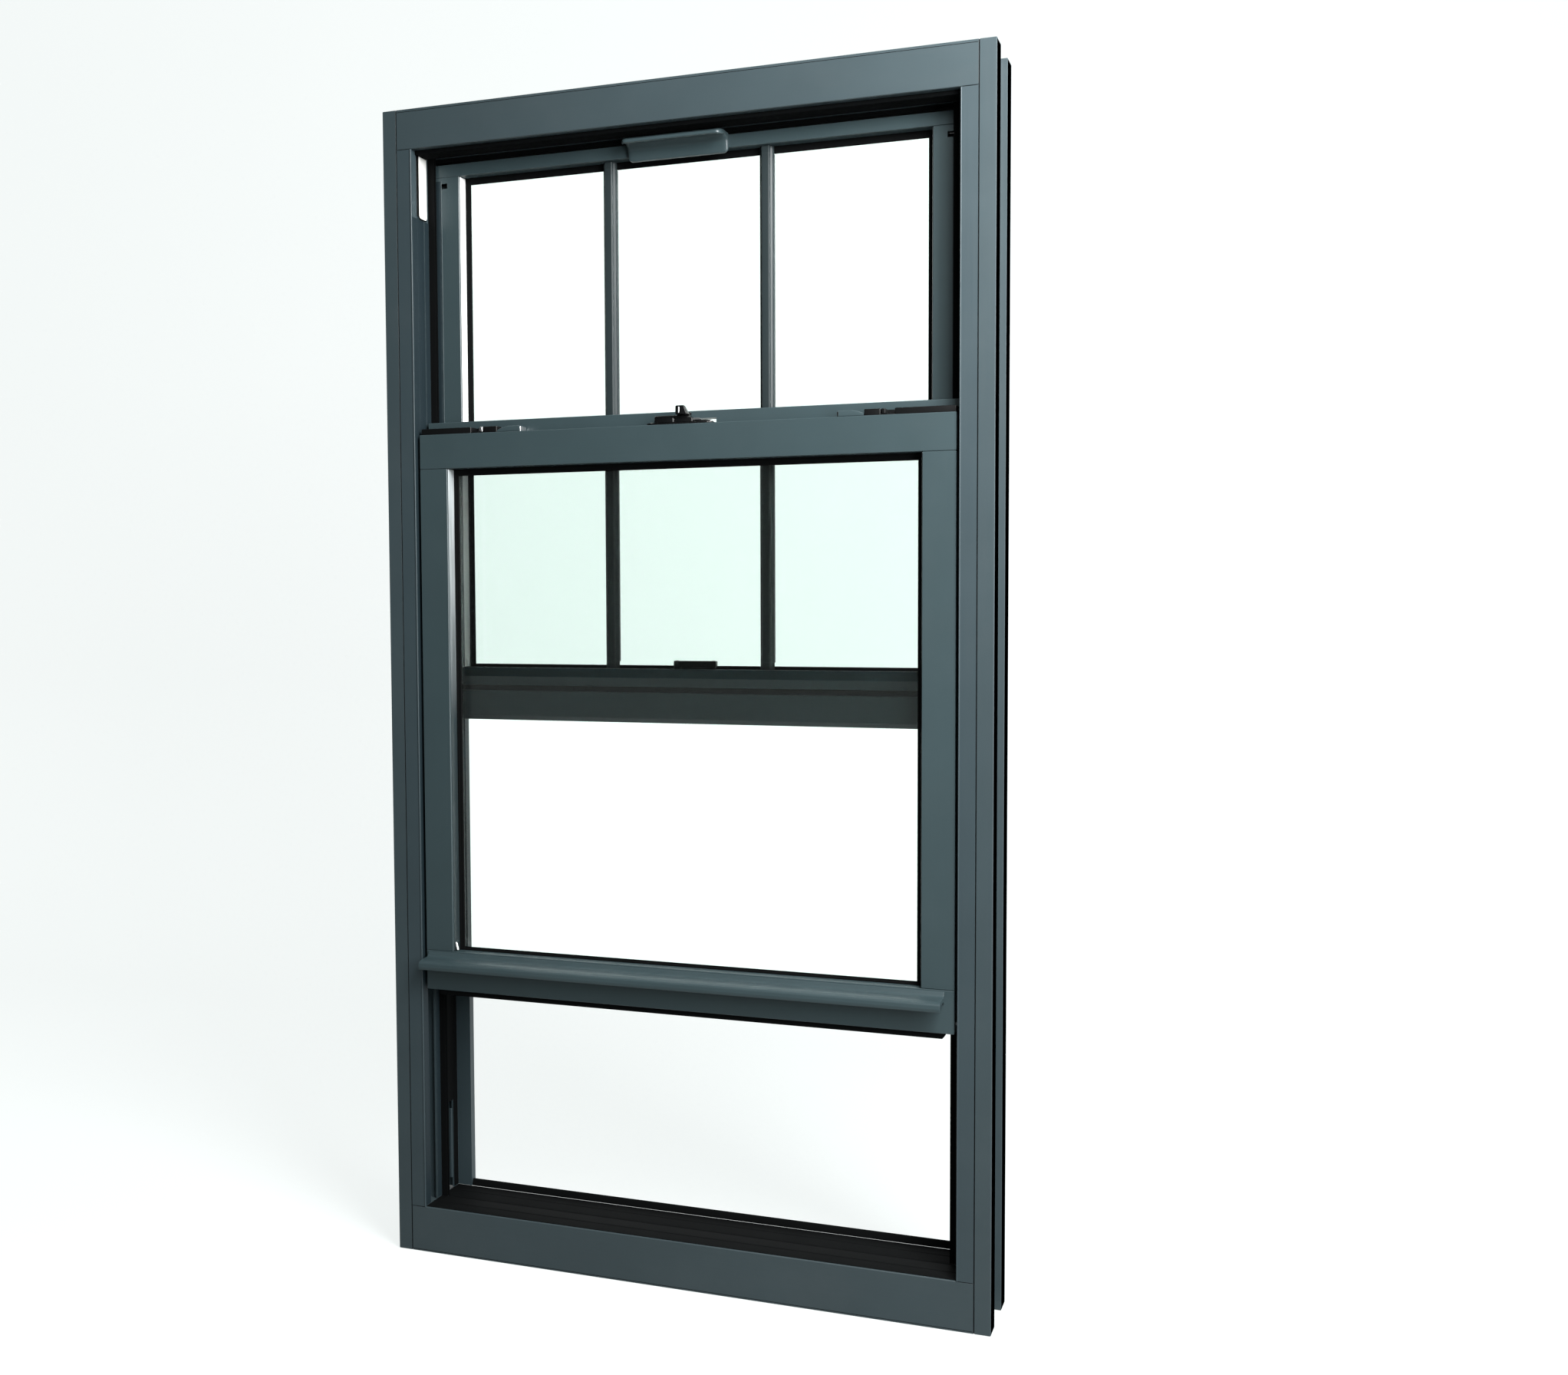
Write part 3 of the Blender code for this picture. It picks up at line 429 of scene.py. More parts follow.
def dust_group() -> bpy.types.NodeTree:
    """Dust and handling marks: patches of a broken noise, heavier on faces that look up."""
    tree = shader_group(
        "dust",
        {
            "Vector": ("NodeSocketVector", None),
            "Scale": ("NodeSocketFloat", 14.0),
            "Amount": ("NodeSocketFloat", 0.2),
        },
        ["Dust"],
    )
    nodes = Nodes(tree)
    given = tree.nodes.new("NodeGroupInput")
    patches = nodes.add(
        "TexNoise",
        {
            "Vector": given.outputs["Vector"],
            "Scale": given.outputs["Scale"],
            "Detail": 7.0,
            "Roughness": 0.68,
        },
    )
    broken = nodes.add("MapRange", {0: patches.outputs["Fac"], 1: 0.48, 2: 0.78})
    normal = nodes.add("NewGeometry")
    upward = nodes.add("SeparateXYZ", {0: normal.outputs["Normal"]})
    settled = nodes.add("MapRange", {0: upward.outputs["Z"], 1: 0.0, 2: 1.0, 3: 0.35, 4: 1.0})
    both = nodes.add("Math", {0: broken.outputs[0], 1: settled.outputs[0]}, operation="MULTIPLY")
    weighed = nodes.add("Math", {0: both.outputs[0], 1: given.outputs["Amount"]}, operation="MULTIPLY")
    out = tree.nodes.new("NodeGroupOutput")
    tree.links.new(weighed.outputs[0], out.inputs["Dust"])
    return tree


def edge_wear_group() -> bpy.types.NodeTree:
    """Edges for wear and painted highlight: one minus the cosine between the surface and its rounded copy,
    broken by noise.
    """
    tree = shader_group(
        "edge wear",
        {"Vector": ("NodeSocketVector", None), "Width": ("NodeSocketFloat", 0.001)},
        ["Edge"],
    )
    nodes = Nodes(tree)
    given = tree.nodes.new("NodeGroupInput")
    rounded = nodes.add("Bevel", {"Radius": given.outputs["Width"]}, samples=4)
    surface = nodes.add("NewGeometry")
    along = nodes.add(
        "VectorMath", {0: rounded.outputs[0], 1: surface.outputs["Normal"]}, operation="DOT_PRODUCT"
    )
    away = nodes.add("MapRange", {0: along.outputs["Value"], 1: 0.985, 2: 0.82})
    noise = nodes.add("TexNoise", {"Vector": given.outputs["Vector"], "Scale": 160.0, "Detail": 4.0})
    broken = nodes.add("MapRange", {0: noise.outputs["Fac"], 1: 0.3, 2: 0.62, 3: 0.35, 4: 1.0})
    worn_and_lit = nodes.add("Math", {0: away.outputs[0], 1: broken.outputs[0]}, operation="MULTIPLY")
    out = tree.nodes.new("NodeGroupOutput")
    tree.links.new(worn_and_lit.outputs[0], out.inputs["Edge"])
    return tree


class Effects:
    """The shared node groups, each built the first time that a finish asks for it."""

    makers: ClassVar[dict[str, Any]] = {
        "grain": fine_grain_group,
        "lines": drawn_lines_group,
        "dust": dust_group,
        # The edge group paints a highlight along every edge as well as wear.
        "edge": edge_wear_group,
    }
    built: ClassVar[dict[str, bpy.types.NodeTree]] = {}

    @classmethod
    def place(cls, nodes: Nodes, name: str, inputs: dict[str, Any]) -> bpy.types.Node:
        """Places one shared group in a material.

        Args:
            nodes: The material's nodes.
            name: Which group.
            inputs: Its values there.

        Returns:
            The group node.
        """
        if name not in cls.built:
            cls.built[name] = cls.makers[name]()
        node = nodes.tree.nodes.new("ShaderNodeGroup")
        node.node_tree = cls.built[name]
        for key, value in inputs.items():
            if isinstance(value, bpy.types.NodeSocket):
                nodes.tree.links.new(value, node.inputs[key])
            else:
                node.inputs[key].default_value = value
        return node


# Finishes -----------------------------------------------------------------------------------


@dataclass(frozen=True)
class Finish:
    """One finish: a named material whose nodes a subclass lays out."""

    name: str
    colour: tuple[float, float, float]
    roughness: float
    slot: str

    made: ClassVar[dict[str, bpy.types.Material]] = {}

    def material(self) -> bpy.types.Material:
        """The material, made once."""
        if self.name not in self.made:
            material = bpy.data.materials.new(self.name)
            material.use_nodes = True
            nodes = Nodes(material.node_tree)
            shader = material.node_tree.nodes["Principled BSDF"]
            shader.inputs["Roughness"].default_value = self.roughness
            shader.inputs["Base Color"].default_value = (*self.colour, 1.0)
            place = nodes.add("TexCoord").outputs["Object"]
            self.lay_out(nodes, shader, place)
            self.made[self.name] = material
        return self.made[self.name]

    def lay_out(self, nodes: Nodes, shader: bpy.types.Node, place: bpy.types.NodeSocket) -> None:
        """Adds what this finish has beyond a colour."""

    def shade(self, share: float) -> tuple[float, float, float]:
        """The finish's colour made lighter or darker."""
        return tuple(min(1.0, channel * share) for channel in self.colour)

    def bump(
        self, nodes: Nodes, shader: bpy.types.Node, height: Any, strength: float, depth: float
    ) -> None:
        """Bends the shader's normal by a height.

        Args:
            nodes: The material's nodes.
            shader: Its Principled node.
            height: Socket of the height, 0 to 1.
            strength: Share of the effect.
            depth: Height in metres.
        """
        node = nodes.add("Bump", {"Height": height, "Strength": strength, "Distance": depth})
        nodes.tree.links.new(node.outputs[0], shader.inputs["Normal"])


@dataclass(frozen=True)
class GraphiteVinyl(Finish):
    """Dark blue-grey extrusion with a fine pebble, faint die lines, settled dust, and paler edges that are
    partly wear and partly painted highlight.
    """

    run: Run = Run.UPRIGHT
    dust: float = 0.16
    gloss: float = 0.5

    def lay_out(self, nodes: Nodes, shader: bpy.types.Node, place: bpy.types.NodeSocket) -> None:
        """Grain and die lines make the bump; tone, dust and the paler edges (wear and painted highlight)
        change the colour.
        """
        squeezed = nodes.add("Mapping", {"Vector": place, "Scale": self.run.value}).outputs[0]
        grain = Effects.place(nodes, "grain", {"Vector": place, "Scale": 1500.0})
        lines = Effects.place(nodes, "lines", {"Vector": squeezed, "Scale": 520.0})
        dust = Effects.place(nodes, "dust", {"Vector": place, "Scale": 9.0, "Amount": self.dust})
        edge = Effects.place(nodes, "edge", {"Vector": place, "Width": 0.0006})
        tone = nodes.blend(grain.outputs["Tone"], self.shade(0.90), self.shade(1.12))
        streaked = nodes.blend(
            nodes.spread(lines.outputs["Lines"], 0.0, 0.16), tone, self.shade(0.70)
        )
        dusty = nodes.blend(dust.outputs["Dust"], streaked, (0.16, 0.17, 0.17))
        # Paler edges: wear, and a painted highlight along every edge.
        rubbed = nodes.blend(
            nodes.spread(edge.outputs["Edge"], 0.0, 0.6), dusty, (0.09, 0.12, 0.13)
        )
        nodes.tree.links.new(rubbed, shader.inputs["Base Color"])
        rough = nodes.spread(lines.outputs["Lines"], self.roughness - 0.06, self.roughness + 0.08)
        nodes.tree.links.new(rough, shader.inputs["Roughness"])
        shader.inputs["Specular IOR Level"].default_value = self.gloss
        height = nodes.blend(
            nodes.spread(lines.outputs["Lines"], 0.2, 0.5), (0.5, 0.5, 0.5), (1.0, 1.0, 1.0)
        )
        both = nodes.add("Math", {0: grain.outputs["Height"], 1: height}, operation="ADD")
        self.bump(nodes, shader, both.outputs[0], 0.20, 0.00006)


@dataclass(frozen=True)
class BlackRubber(Finish):
    """Matt black gasket or seal, a little chalky in patches."""

    def lay_out(self, nodes: Nodes, shader: bpy.types.Node, place: bpy.types.NodeSocket) -> None:
        """A pebbled bump and pale bloom in the dust mask."""
        grain = Effects.place(nodes, "grain", {"Vector": place, "Scale": 1100.0})
        dust = Effects.place(nodes, "dust", {"Vector": place, "Scale": 22.0, "Amount": 0.05})
        tone = nodes.blend(grain.outputs["Tone"], self.shade(0.7), self.shade(1.3))
        bloom = nodes.blend(dust.outputs["Dust"], tone, (0.03, 0.033, 0.033))
        nodes.tree.links.new(bloom, shader.inputs["Base Color"])
        rough = nodes.spread(grain.outputs["Tone"], self.roughness - 0.08, self.roughness + 0.1)
        nodes.tree.links.new(rough, shader.inputs["Roughness"])
        shader.inputs["Specular IOR Level"].default_value = 0.08
        self.bump(nodes, shader, grain.outputs["Height"], 0.3, 0.00008)


@dataclass(frozen=True)
class PileSeal(Finish):
    """Woven pile strip: dense black fibre, with tufts in its bump."""

    def lay_out(self, nodes: Nodes, shader: bpy.types.Node, place: bpy.types.NodeSocket) -> None:
        """Stretched noise stands for the fibres and a coarse one for the tufts."""
        squeezed = nodes.add("Mapping", {"Vector": place, "Scale": (1.0, 0.12, 1.0)}).outputs[0]
        fibres = Effects.place(nodes, "lines", {"Vector": squeezed, "Scale": 2600.0})
        tufts = Effects.place(nodes, "grain", {"Vector": place, "Scale": 500.0})
        tone = nodes.blend(fibres.outputs["Lines"], self.shade(0.4), self.shade(1.8))
        nodes.tree.links.new(tone, shader.inputs["Base Color"])
        rough = nodes.spread(tufts.outputs["Tone"], 0.85, 1.0)
        nodes.tree.links.new(rough, shader.inputs["Roughness"])
        shader.inputs["Specular IOR Level"].default_value = 0.04
        self.bump(nodes, shader, fibres.outputs["Lines"], 0.8, 0.0003)


@dataclass(frozen=True)
class ClearGlass(Finish):
    """Float glass: fully clear, faintly green, with a breath of smudging in its polish."""

    def lay_out(self, nodes: Nodes, shader: bpy.types.Node, place: bpy.types.NodeSocket) -> None:
        """Transmission stays plain; only colour and polish change over the pane."""
        dust = Effects.place(nodes, "dust", {"Vector": place, "Scale": 3.5, "Amount": 0.5})
        tint = nodes.blend(dust.outputs["Dust"], self.colour, self.shade(0.975))
        nodes.tree.links.new(tint, shader.inputs["Base Color"])
        polish = nodes.spread(dust.outputs["Dust"], self.roughness, self.roughness + 0.015)
        nodes.tree.links.new(polish, shader.inputs["Roughness"])
        shader.inputs["Transmission Weight"].default_value = 1.0
        shader.inputs["IOR"].default_value = 1.5


@dataclass(frozen=True)
class MilledMetal(Finish):
    """Plated or mill-finish metal with brushed lines, stains and bright edges."""

    run: Run = Run.UPRIGHT
    stain: float = 0.25

    def lay_out(self, nodes: Nodes, shader: bpy.types.Node, place: bpy.types.NodeSocket) -> None:
        """Brushed lines drive the gloss; stains darken the colour."""
        squeezed = nodes.add("Mapping", {"Vector": place, "Scale": self.run.value}).outputs[0]
        lines = Effects.place(nodes, "lines", {"Vector": squeezed, "Scale": 1400.0})
        dust = Effects.place(nodes, "dust", {"Vector": place, "Scale": 60.0, "Amount": self.stain})
        tone = nodes.blend(lines.outputs["Lines"], self.shade(0.86), self.shade(1.08))
        stained = nodes.blend(dust.outputs["Dust"], tone, self.shade(0.45))
        nodes.tree.links.new(stained, shader.inputs["Base Color"])
        rough = nodes.spread(lines.outputs["Lines"], self.roughness - 0.1, self.roughness + 0.15)
        nodes.tree.links.new(rough, shader.inputs["Roughness"])
        shader.inputs["Metallic"].default_value = 1.0
        self.bump(nodes, shader, lines.outputs["Lines"], 0.25, 0.00004)


@dataclass(frozen=True)
class MouldedPlastic(Finish):
    """Hard moulded plastic or painted casting with light texture, and edges coloured for handling wear and as
    a painted highlight.
    """

    rubbed: tuple[float, float, float] = (0.2, 0.2, 0.2)
    gloss: float = 0.5
    coat: float = 0.0

    def lay_out(self, nodes: Nodes, shader: bpy.types.Node, place: bpy.types.NodeSocket) -> None:
        """Grain makes the bump, dust dulls it and edges take the paler colour, partly worn body and partly
        painted highlight.
        """
        grain = Effects.place(nodes, "grain", {"Vector": place, "Scale": 1300.0})
        dust = Effects.place(nodes, "dust", {"Vector": place, "Scale": 40.0, "Amount": 0.18})
        edge = Effects.place(nodes, "edge", {"Vector": place, "Width": 0.0003})
        tone = nodes.blend(grain.outputs["Tone"], self.shade(0.85), self.shade(1.1))
        dusty = nodes.blend(dust.outputs["Dust"], tone, self.shade(0.8))
        # Paler edges: wear, and a painted highlight along every edge.
        worn_and_lit = nodes.blend(nodes.spread(edge.outputs["Edge"], 0.0, 0.4), dusty, self.rubbed)
        nodes.tree.links.new(worn_and_lit, shader.inputs["Base Color"])
        rough = nodes.spread(dust.outputs["Dust"], self.roughness, self.roughness + 0.5)
        nodes.tree.links.new(rough, shader.inputs["Roughness"])
        shader.inputs["Specular IOR Level"].default_value = self.gloss
        shader.inputs["Coat Weight"].default_value = self.coat
        self.bump(nodes, shader, grain.outputs["Height"], 0.2, 0.00005)


@dataclass(frozen=True)
class FadingBead(Finish):
    """A bead's return painted pale as a highlight that fades to painted shade, the dark body colour, towards
    its lower end.
    """

    low: float = 0.6
    high: float = 0.9

    def lay_out(self, nodes: Nodes, shader: bpy.types.Node, place: bpy.types.NodeSocket) -> None:
        """Height in the object fades pale to dark; drawn lines break it into streaks."""
        squeezed = nodes.add("Mapping", {"Vector": place, "Scale": Run.UPRIGHT.value}).outputs[0]
        lines = Effects.place(nodes, "lines", {"Vector": squeezed, "Scale": 900.0})
        height = nodes.add("SeparateXYZ", {0: place})
        faded = nodes.add("MapRange", {0: height.outputs["Z"], 1: self.low, 2: self.high})
        streaked = nodes.add("MapRange", {0: lines.outputs["Lines"], 1: 0.35, 2: 0.65, 3: 0.45, 4: 1.0})
        share = nodes.add("Math", {0: faded.outputs[0], 1: streaked.outputs[0]}, operation="MULTIPLY")
        colour = nodes.blend(share.outputs[0], (0.02, 0.03, 0.033), self.colour)
        nodes.tree.links.new(colour, shader.inputs["Base Color"])
        rough = nodes.spread(lines.outputs["Lines"], self.roughness - 0.1, self.roughness + 0.1)
        nodes.tree.links.new(rough, shader.inputs["Roughness"])
        self.bump(nodes, shader, lines.outputs["Lines"], 0.3, 0.00005)


GRAPHITE = (0.038, 0.056, 0.063)
FRAME_UPRIGHT = GraphiteVinyl("graphite frame, upright", GRAPHITE, 0.40, "frame", Run.UPRIGHT)
FRAME_ACROSS = GraphiteVinyl("graphite frame, across", GRAPHITE, 0.40, "frame", Run.ACROSS)
LINER = GraphiteVinyl("graphite liner", (0.034, 0.052, 0.060), 0.42, "liner", Run.UPRIGHT, 0.1)
# Sash graphite at about half its brightness: painted shade on the glazing bars.
SHADED_BAR = GraphiteVinyl("graphite glazing bar", (0.017, 0.025, 0.027), 0.42, "sash", Run.UPRIGHT, 0.05, 0.35)
# Pale strip colour: a painted highlight on the front flanges' outer sides.
FLANGE_HIGHLIGHT = GraphiteVinyl("pale satin trim", (0.21, 0.245, 0.25), 0.34, "frame", Run.UPRIGHT, 0.1, 0.5)
# Darker graphite: painted shade in the tracks and on the upper stiles' outer margins.
SHADE_GRAPHITE = GraphiteVinyl("graphite track wall", (0.011, 0.020, 0.025), 0.55, "liner", Run.UPRIGHT, 0.05, 0.2)
SASH_UPRIGHT = GraphiteVinyl("graphite sash, upright", (0.035, 0.056, 0.062), 0.36, "sash", Run.UPRIGHT, 0.1)
SASH_ACROSS = GraphiteVinyl("graphite sash, across", (0.035, 0.056, 0.062), 0.36, "sash", Run.ACROSS, 0.1)
RUBBER = BlackRubber("black glazing rubber", (0.0022, 0.0026, 0.0028), 0.75, "rubber")
PILE = PileSeal("black pile strip", (0.0025, 0.003, 0.0032), 0.95, "rubber")
GLASS = ClearGlass("clear float glass", (0.955, 0.99, 0.975), 0.0, "glass")
SPACER = MilledMetal("mill aluminium spacer", (0.72, 0.74, 0.74), 0.38, "spacer", Run.UPRIGHT)
NYLON = MouldedPlastic("white nylon", (0.86, 0.86, 0.83), 0.42, "nylon", (0.95, 0.95, 0.93))
# Near-white painted highlight: the glare of the right-hand light on the bead returns and the corner key.
GLARE_WHITE = MouldedPlastic("white vinyl bead", (0.93, 0.94, 0.92), 0.3, "nylon", (0.97, 0.97, 0.96))
# Lower bead returns: painted highlight at the top fading to painted shade lower down.
SHADED_BEAD = FadingBead("white vinyl bead, scuffed low down", (0.50, 0.54, 0.55), 0.4, "nylon", 0.62, 0.88)
BLACK_CASTING = MouldedPlastic(
    "black painted casting", (0.003, 0.0033, 0.0036), 0.26, "latch", (0.02, 0.02, 0.02), 0.4, 0.0
)
BLACK_MOULDING = MouldedPlastic(
    "black moulded latch", (0.003, 0.0033, 0.0036), 0.4, "latch", (0.012, 0.012, 0.012), 0.25
)
STEEL = MilledMetal("zinc plated steel", (0.62, 0.63, 0.63), 0.34, "steel", Run.ACROSS)
# Near-white metal used as a painted glint on the lock and the left latch.
GLINT_ZINC = MilledMetal("bright die-cast zinc", (0.86, 0.87, 0.88), 0.30, "steel", Run.UPRIGHT, 0.1)
TAPE = MilledMetal("spring steel tape", (0.50, 0.50, 0.49), 0.28, "steel", Run.UPRIGHT, 0.4)


def dress(finish: Finish, *names: str) -> None:
    """Gives CAD nodes a finish.

    Args:
        finish: The finish.
        names: The nodes.
    """
    material = finish.material()
    for name in names:
        node = frame["nodes"][name]
        node.data.materials.clear()
        node.data.materials.append(material)


def fit(piece: bpy.types.Object, finish: Finish, body: str, *stands_for: str) -> bpy.types.Object:
    """Finishes a new piece and puts it on its body.

    Args:
        piece: The piece.
        finish: Its finish.
        body: The CAD body that it moves with.
        stands_for: CAD nodes that it replaces.

    Returns:
        The piece.
    """
    piece.data.materials.append(finish.material())
    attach(piece, body)
    if stands_for:
        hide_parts(*stands_for)
    return piece


@dataclass
class Assembly:
    """A group of pieces that reports what it made."""

    pieces: list[bpy.types.Object] = field(default_factory=list)

    def keep(self, piece: bpy.types.Object) -> None:
        """Remembers a piece for the report."""
        self.pieces.append(piece)

    def report(self) -> None:
        """Logs each piece with its number of faces."""
        for piece in self.pieces:
            LOG.info("%s: %s, %d faces", type(self).__name__, piece.name, len(piece.data.polygons))


# The window's own parts ---------------------------------------------------------------------

STOP_SHOWS = 0.008  # how far a parting stop stands out of its liner


def liner_wall() -> float:
    """Distance of the liners' inner walls from the middle of the window."""
    return STOP_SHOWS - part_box("left_parting_stop")[1].x



@dataclass
class Screw(Assembly):
    """Pan-head screw with a cross recess, lying along an axis."""

    radius: float = 0.004
    height: float = 0.0022

    def build(
        self, name: str, lying: Lying, centre: Vector, sign: int, body: str, *stands_for: str
    ) -> bpy.types.Object:
        """Makes the domed head; the recess is a dark cross sunk in its crown.

        The dome's radius follows the cosine of an angle and its height the sine, after a short
        upright rim. Radii inside the cross are pushed down where the angle round the head is near
        a quarter turn.

        Args:
            name: The piece's name.
            lying: The screw's axis.
            centre: Middle of the head's underside.
            sign: Which way along the axis the head stands.
            body: The body it moves with.
            stands_for: CAD nodes that it replaces.

        Returns:
            The head.
        """
        turn = np.linspace(0, math.pi / 2, 14)
        rim = 0.35 * self.height
        radius = np.concatenate([[self.radius], self.radius * np.cos(turn) + 1e-6])
        height = np.concatenate([[0.0], rim + (self.height - rim) * np.sin(turn)])
        angle = np.linspace(0, 2 * math.pi, 64, endpoint=False)
        near_arm = np.abs(np.sin(2 * angle)) * radius[:, None] < 0.16 * self.radius
        inside = radius[:, None] < 0.62 * self.radius
        sunk = np.where(near_arm & inside, 0.45 * self.height, 0.0)
        across = radius[:, None] * np.cos(angle)
        along = radius[:, None] * np.sin(angle)
        columns = [across, along, sign * (height[:, None] - sunk)]
        rings = np.stack([columns[index] for index in lying.value], axis=-1) + np.array(centre)
        head = lofted(name, rings)
        self.keep(fit(head, STEEL, body, *stands_for))
        return head


@dataclass
class OuterFrame(Assembly):
    """Head, sill and jambs, the screws in their grooves and the strips under the head."""

    pile_depth: float = 0.0045

    def build(self) -> None:
        """Dresses the members and adds the screws and the head's pile strips."""
        dress(FRAME_ACROSS, "head", "sill")
        dress(FRAME_UPRIGHT, "left_jamb", "right_jamb")
        for side in Side:
            for end in ("bottom", "top"):
                node = f"corner_screw_{side.word}_{end}"
                low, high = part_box(node)
                face = high.x if side is Side.RIGHT else low.x
                reach = 0.0023
                middle = Vector((face - side.value * reach, 0.0, (low.z + high.z) / 2))
                maker = Screw(radius=(high.z - low.z) / 2, height=reach)
                maker.build(node + "_head", Lying.X, middle, side.value, "frame", node)
                self.pieces += maker.pieces
        self.head_strips()
        self.sill_strips()
        self.joint_lines()
        self.flange_strips()

    def joint_lines(self) -> None:
        """Thin dark sealant along the joints between jambs, liners, head and sill, and dark hair lines as
        painted shade under the head's top lip and along the sill's foot.
        """
        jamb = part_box("left_jamb")
        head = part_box("head")
        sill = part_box("sill")
        front = jamb[0].y
        joint = -jamb[1].x - 0.00015
        for side in Side:
            self.line(f"joint_line_{side.word}", Vector((side.value * joint, front, jamb[0].z + 0.001)),
                      Vector((0.00055, 0.00022, jamb[1].z - jamb[0].z - 0.002)))
            middle = side.value * (joint + liner_wall()) / 2
            width = (joint - liner_wall()) / 2 - 0.0012
            for word, z in (("head", head[0].z - 0.00015), ("sill", sill[1].z + 0.00015)):
                self.cross_line(f"joint_line_{word}_{side.word}", middle, width, front, z)
        # Painted shade: dark lines under the head's top step and along the sill's bottom edge.
        self.cross_line("head_lip_shade_line", 0.0, joint - 0.001, front, head[1].z - 0.0030)
        self.cross_line("sill_foot_shade_line", 0.0, joint - 0.001, front, sill[0].z + 0.0022)

    def line(self, name: str, foot: Vector, size: Vector) -> None:
        """An upright hair line of sealant, sitting proud of a face by half its depth."""
        corners = np.array([(foot.x - size.x, foot.y), (foot.x - 0.5 * size.x, foot.y - size.y),
                            (foot.x + 0.5 * size.x, foot.y - size.y), (foot.x + size.x, foot.y),
                            (foot.x, foot.y + size.y)])
        strip = carried(name, filleted(corners, 0.0001, 3), Lying.Z, foot.z, foot.z + size.z, 0.00005)
        self.keep(fit(strip, RUBBER, "frame"))

    def cross_line(self, name: str, middle: float, width: float, front: float, z: float) -> None:
        """A level dark hair line: sealant along a joint, painted shade under a lip."""
        corners = np.array([(front, z - 0.0004), (front - 0.0002, z), (front, z + 0.0004),
                            (front + 0.0002, z)])
        strip = carried(name, filleted(corners, 0.0001, 3), Lying.X, middle - width, middle + width,
                        0.00005)
        self.keep(fit(strip, RUBBER, "frame"))

    def flange_strips(self) -> None:
        """Black strips on the rear flanges' outer edges as painted shade, and pale strips on the front
        flanges' outer edges as a painted highlight.
        """
        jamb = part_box("right_jamb")
        for side in Side:
            outer = jamb[1].x
            near, far = sorted((side.value * (outer - 0.0003), side.value * outer))
            corners = np.array([(near, jamb[1].y - 0.0215), (far, jamb[1].y - 0.0215),
                                (far, jamb[1].y - 0.0010), (near, jamb[1].y - 0.0010)])
            # Black strip: painted shade on the rear flange's outer side.
            strip = carried(f"flange_strip_{side.word}", filleted(corners, 0.0001, 3), Lying.Z,
                            jamb[0].z + 0.0012, jamb[1].z - 0.0012, 0.00005)
            self.keep(fit(strip, RUBBER, "frame"))
            corners[:, 1] += jamb[0].y - jamb[1].y + 0.0225
            # Pale strip: a painted highlight on the front flange's outer side.
            highlight_strip = carried(f"flange_trim_{side.word}", filleted(corners, 0.0001, 3), Lying.Z,
                           jamb[0].z + 0.0012, jamb[1].z - 0.0012, 0.00005)
            self.keep(fit(highlight_strip, FLANGE_HIGHLIGHT, "frame"))

    def sill_strips(self) -> None:
        """Black strips on the sill: two flat ones and a narrow one between the stops, standing in for the
        shade on the sill's top, and a lip.
        """
        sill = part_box("sill")
        top = sill[1].z + HAIR
        inside = -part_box("left_track_liner")[1].x
        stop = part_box("left_parting_stop")
        wide = liner_wall() - 0.0003
        rear = sill[1].y
        strips = {
            "front": (sill[0].y + 0.0020, stop[0].y - HAIR, wide),
            "middle": (stop[0].y, stop[1].y, abs(stop[1].x) - 0.0006),
            "rear": (stop[1].y + HAIR, rear - 0.0092, wide),
        }
        for name, (near, far, reach) in strips.items():
            ridge = (near + far) / 2
            corners = [
                (near, top), (near, top + 0.0004), (ridge - 0.001, top + 0.0004), (ridge, top + 0.0009),
                (ridge + 0.001, top + 0.0004), (far, top + 0.0004), (far, top),
            ]
            # Flat black strips: painted shade on the sill's top.
            piece = carried(f"sill_strip_{name}", filleted(np.array(corners), 0.0002, 4), Lying.X,
                            -reach, reach, 0.0001)
            self.keep(fit(piece, RUBBER, "frame"))
        corners = [
            (rear - 0.0088, top), (rear - 0.0080, top + 0.0030), (rear - 0.0062, top + 0.0078),
            (rear - 0.0036, top + 0.0078), (rear - 0.0030, top),
        ]
        lip = carried("sill_lip", filleted(np.array(corners), 0.0008), Lying.X, -inside + 0.0004,
                      inside - 0.0004, 0.0006)
        self.keep(fit(lip, RUBBER, "frame"))

    def head_strips(self) -> None:
        """Pile strips under the head, one above each sash's track; their black also stands in for the shade
        under the head.
        """
        head_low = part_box("head")[0]
        reach = liner_wall() - 0.001
        for name, sash in (("room", "lower_check_rail"), ("outer", "upper_top_rail")):
            low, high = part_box(sash)
            y_low, y_high = low.y + 0.004, high.y - 0.004
            corners = [
                (y_low, head_low.z - HAIR),
                (y_high, head_low.z - HAIR),
                (y_high - 0.001, head_low.z - self.pile_depth),
                (y_low + 0.001, head_low.z - self.pile_depth),
            ]
            outline = filleted(np.array(corners), 0.0008)
            strip = carried(f"head_strip_{name}", outline, Lying.X, -reach, reach)
            self.keep(fit(strip, PILE, "frame"))


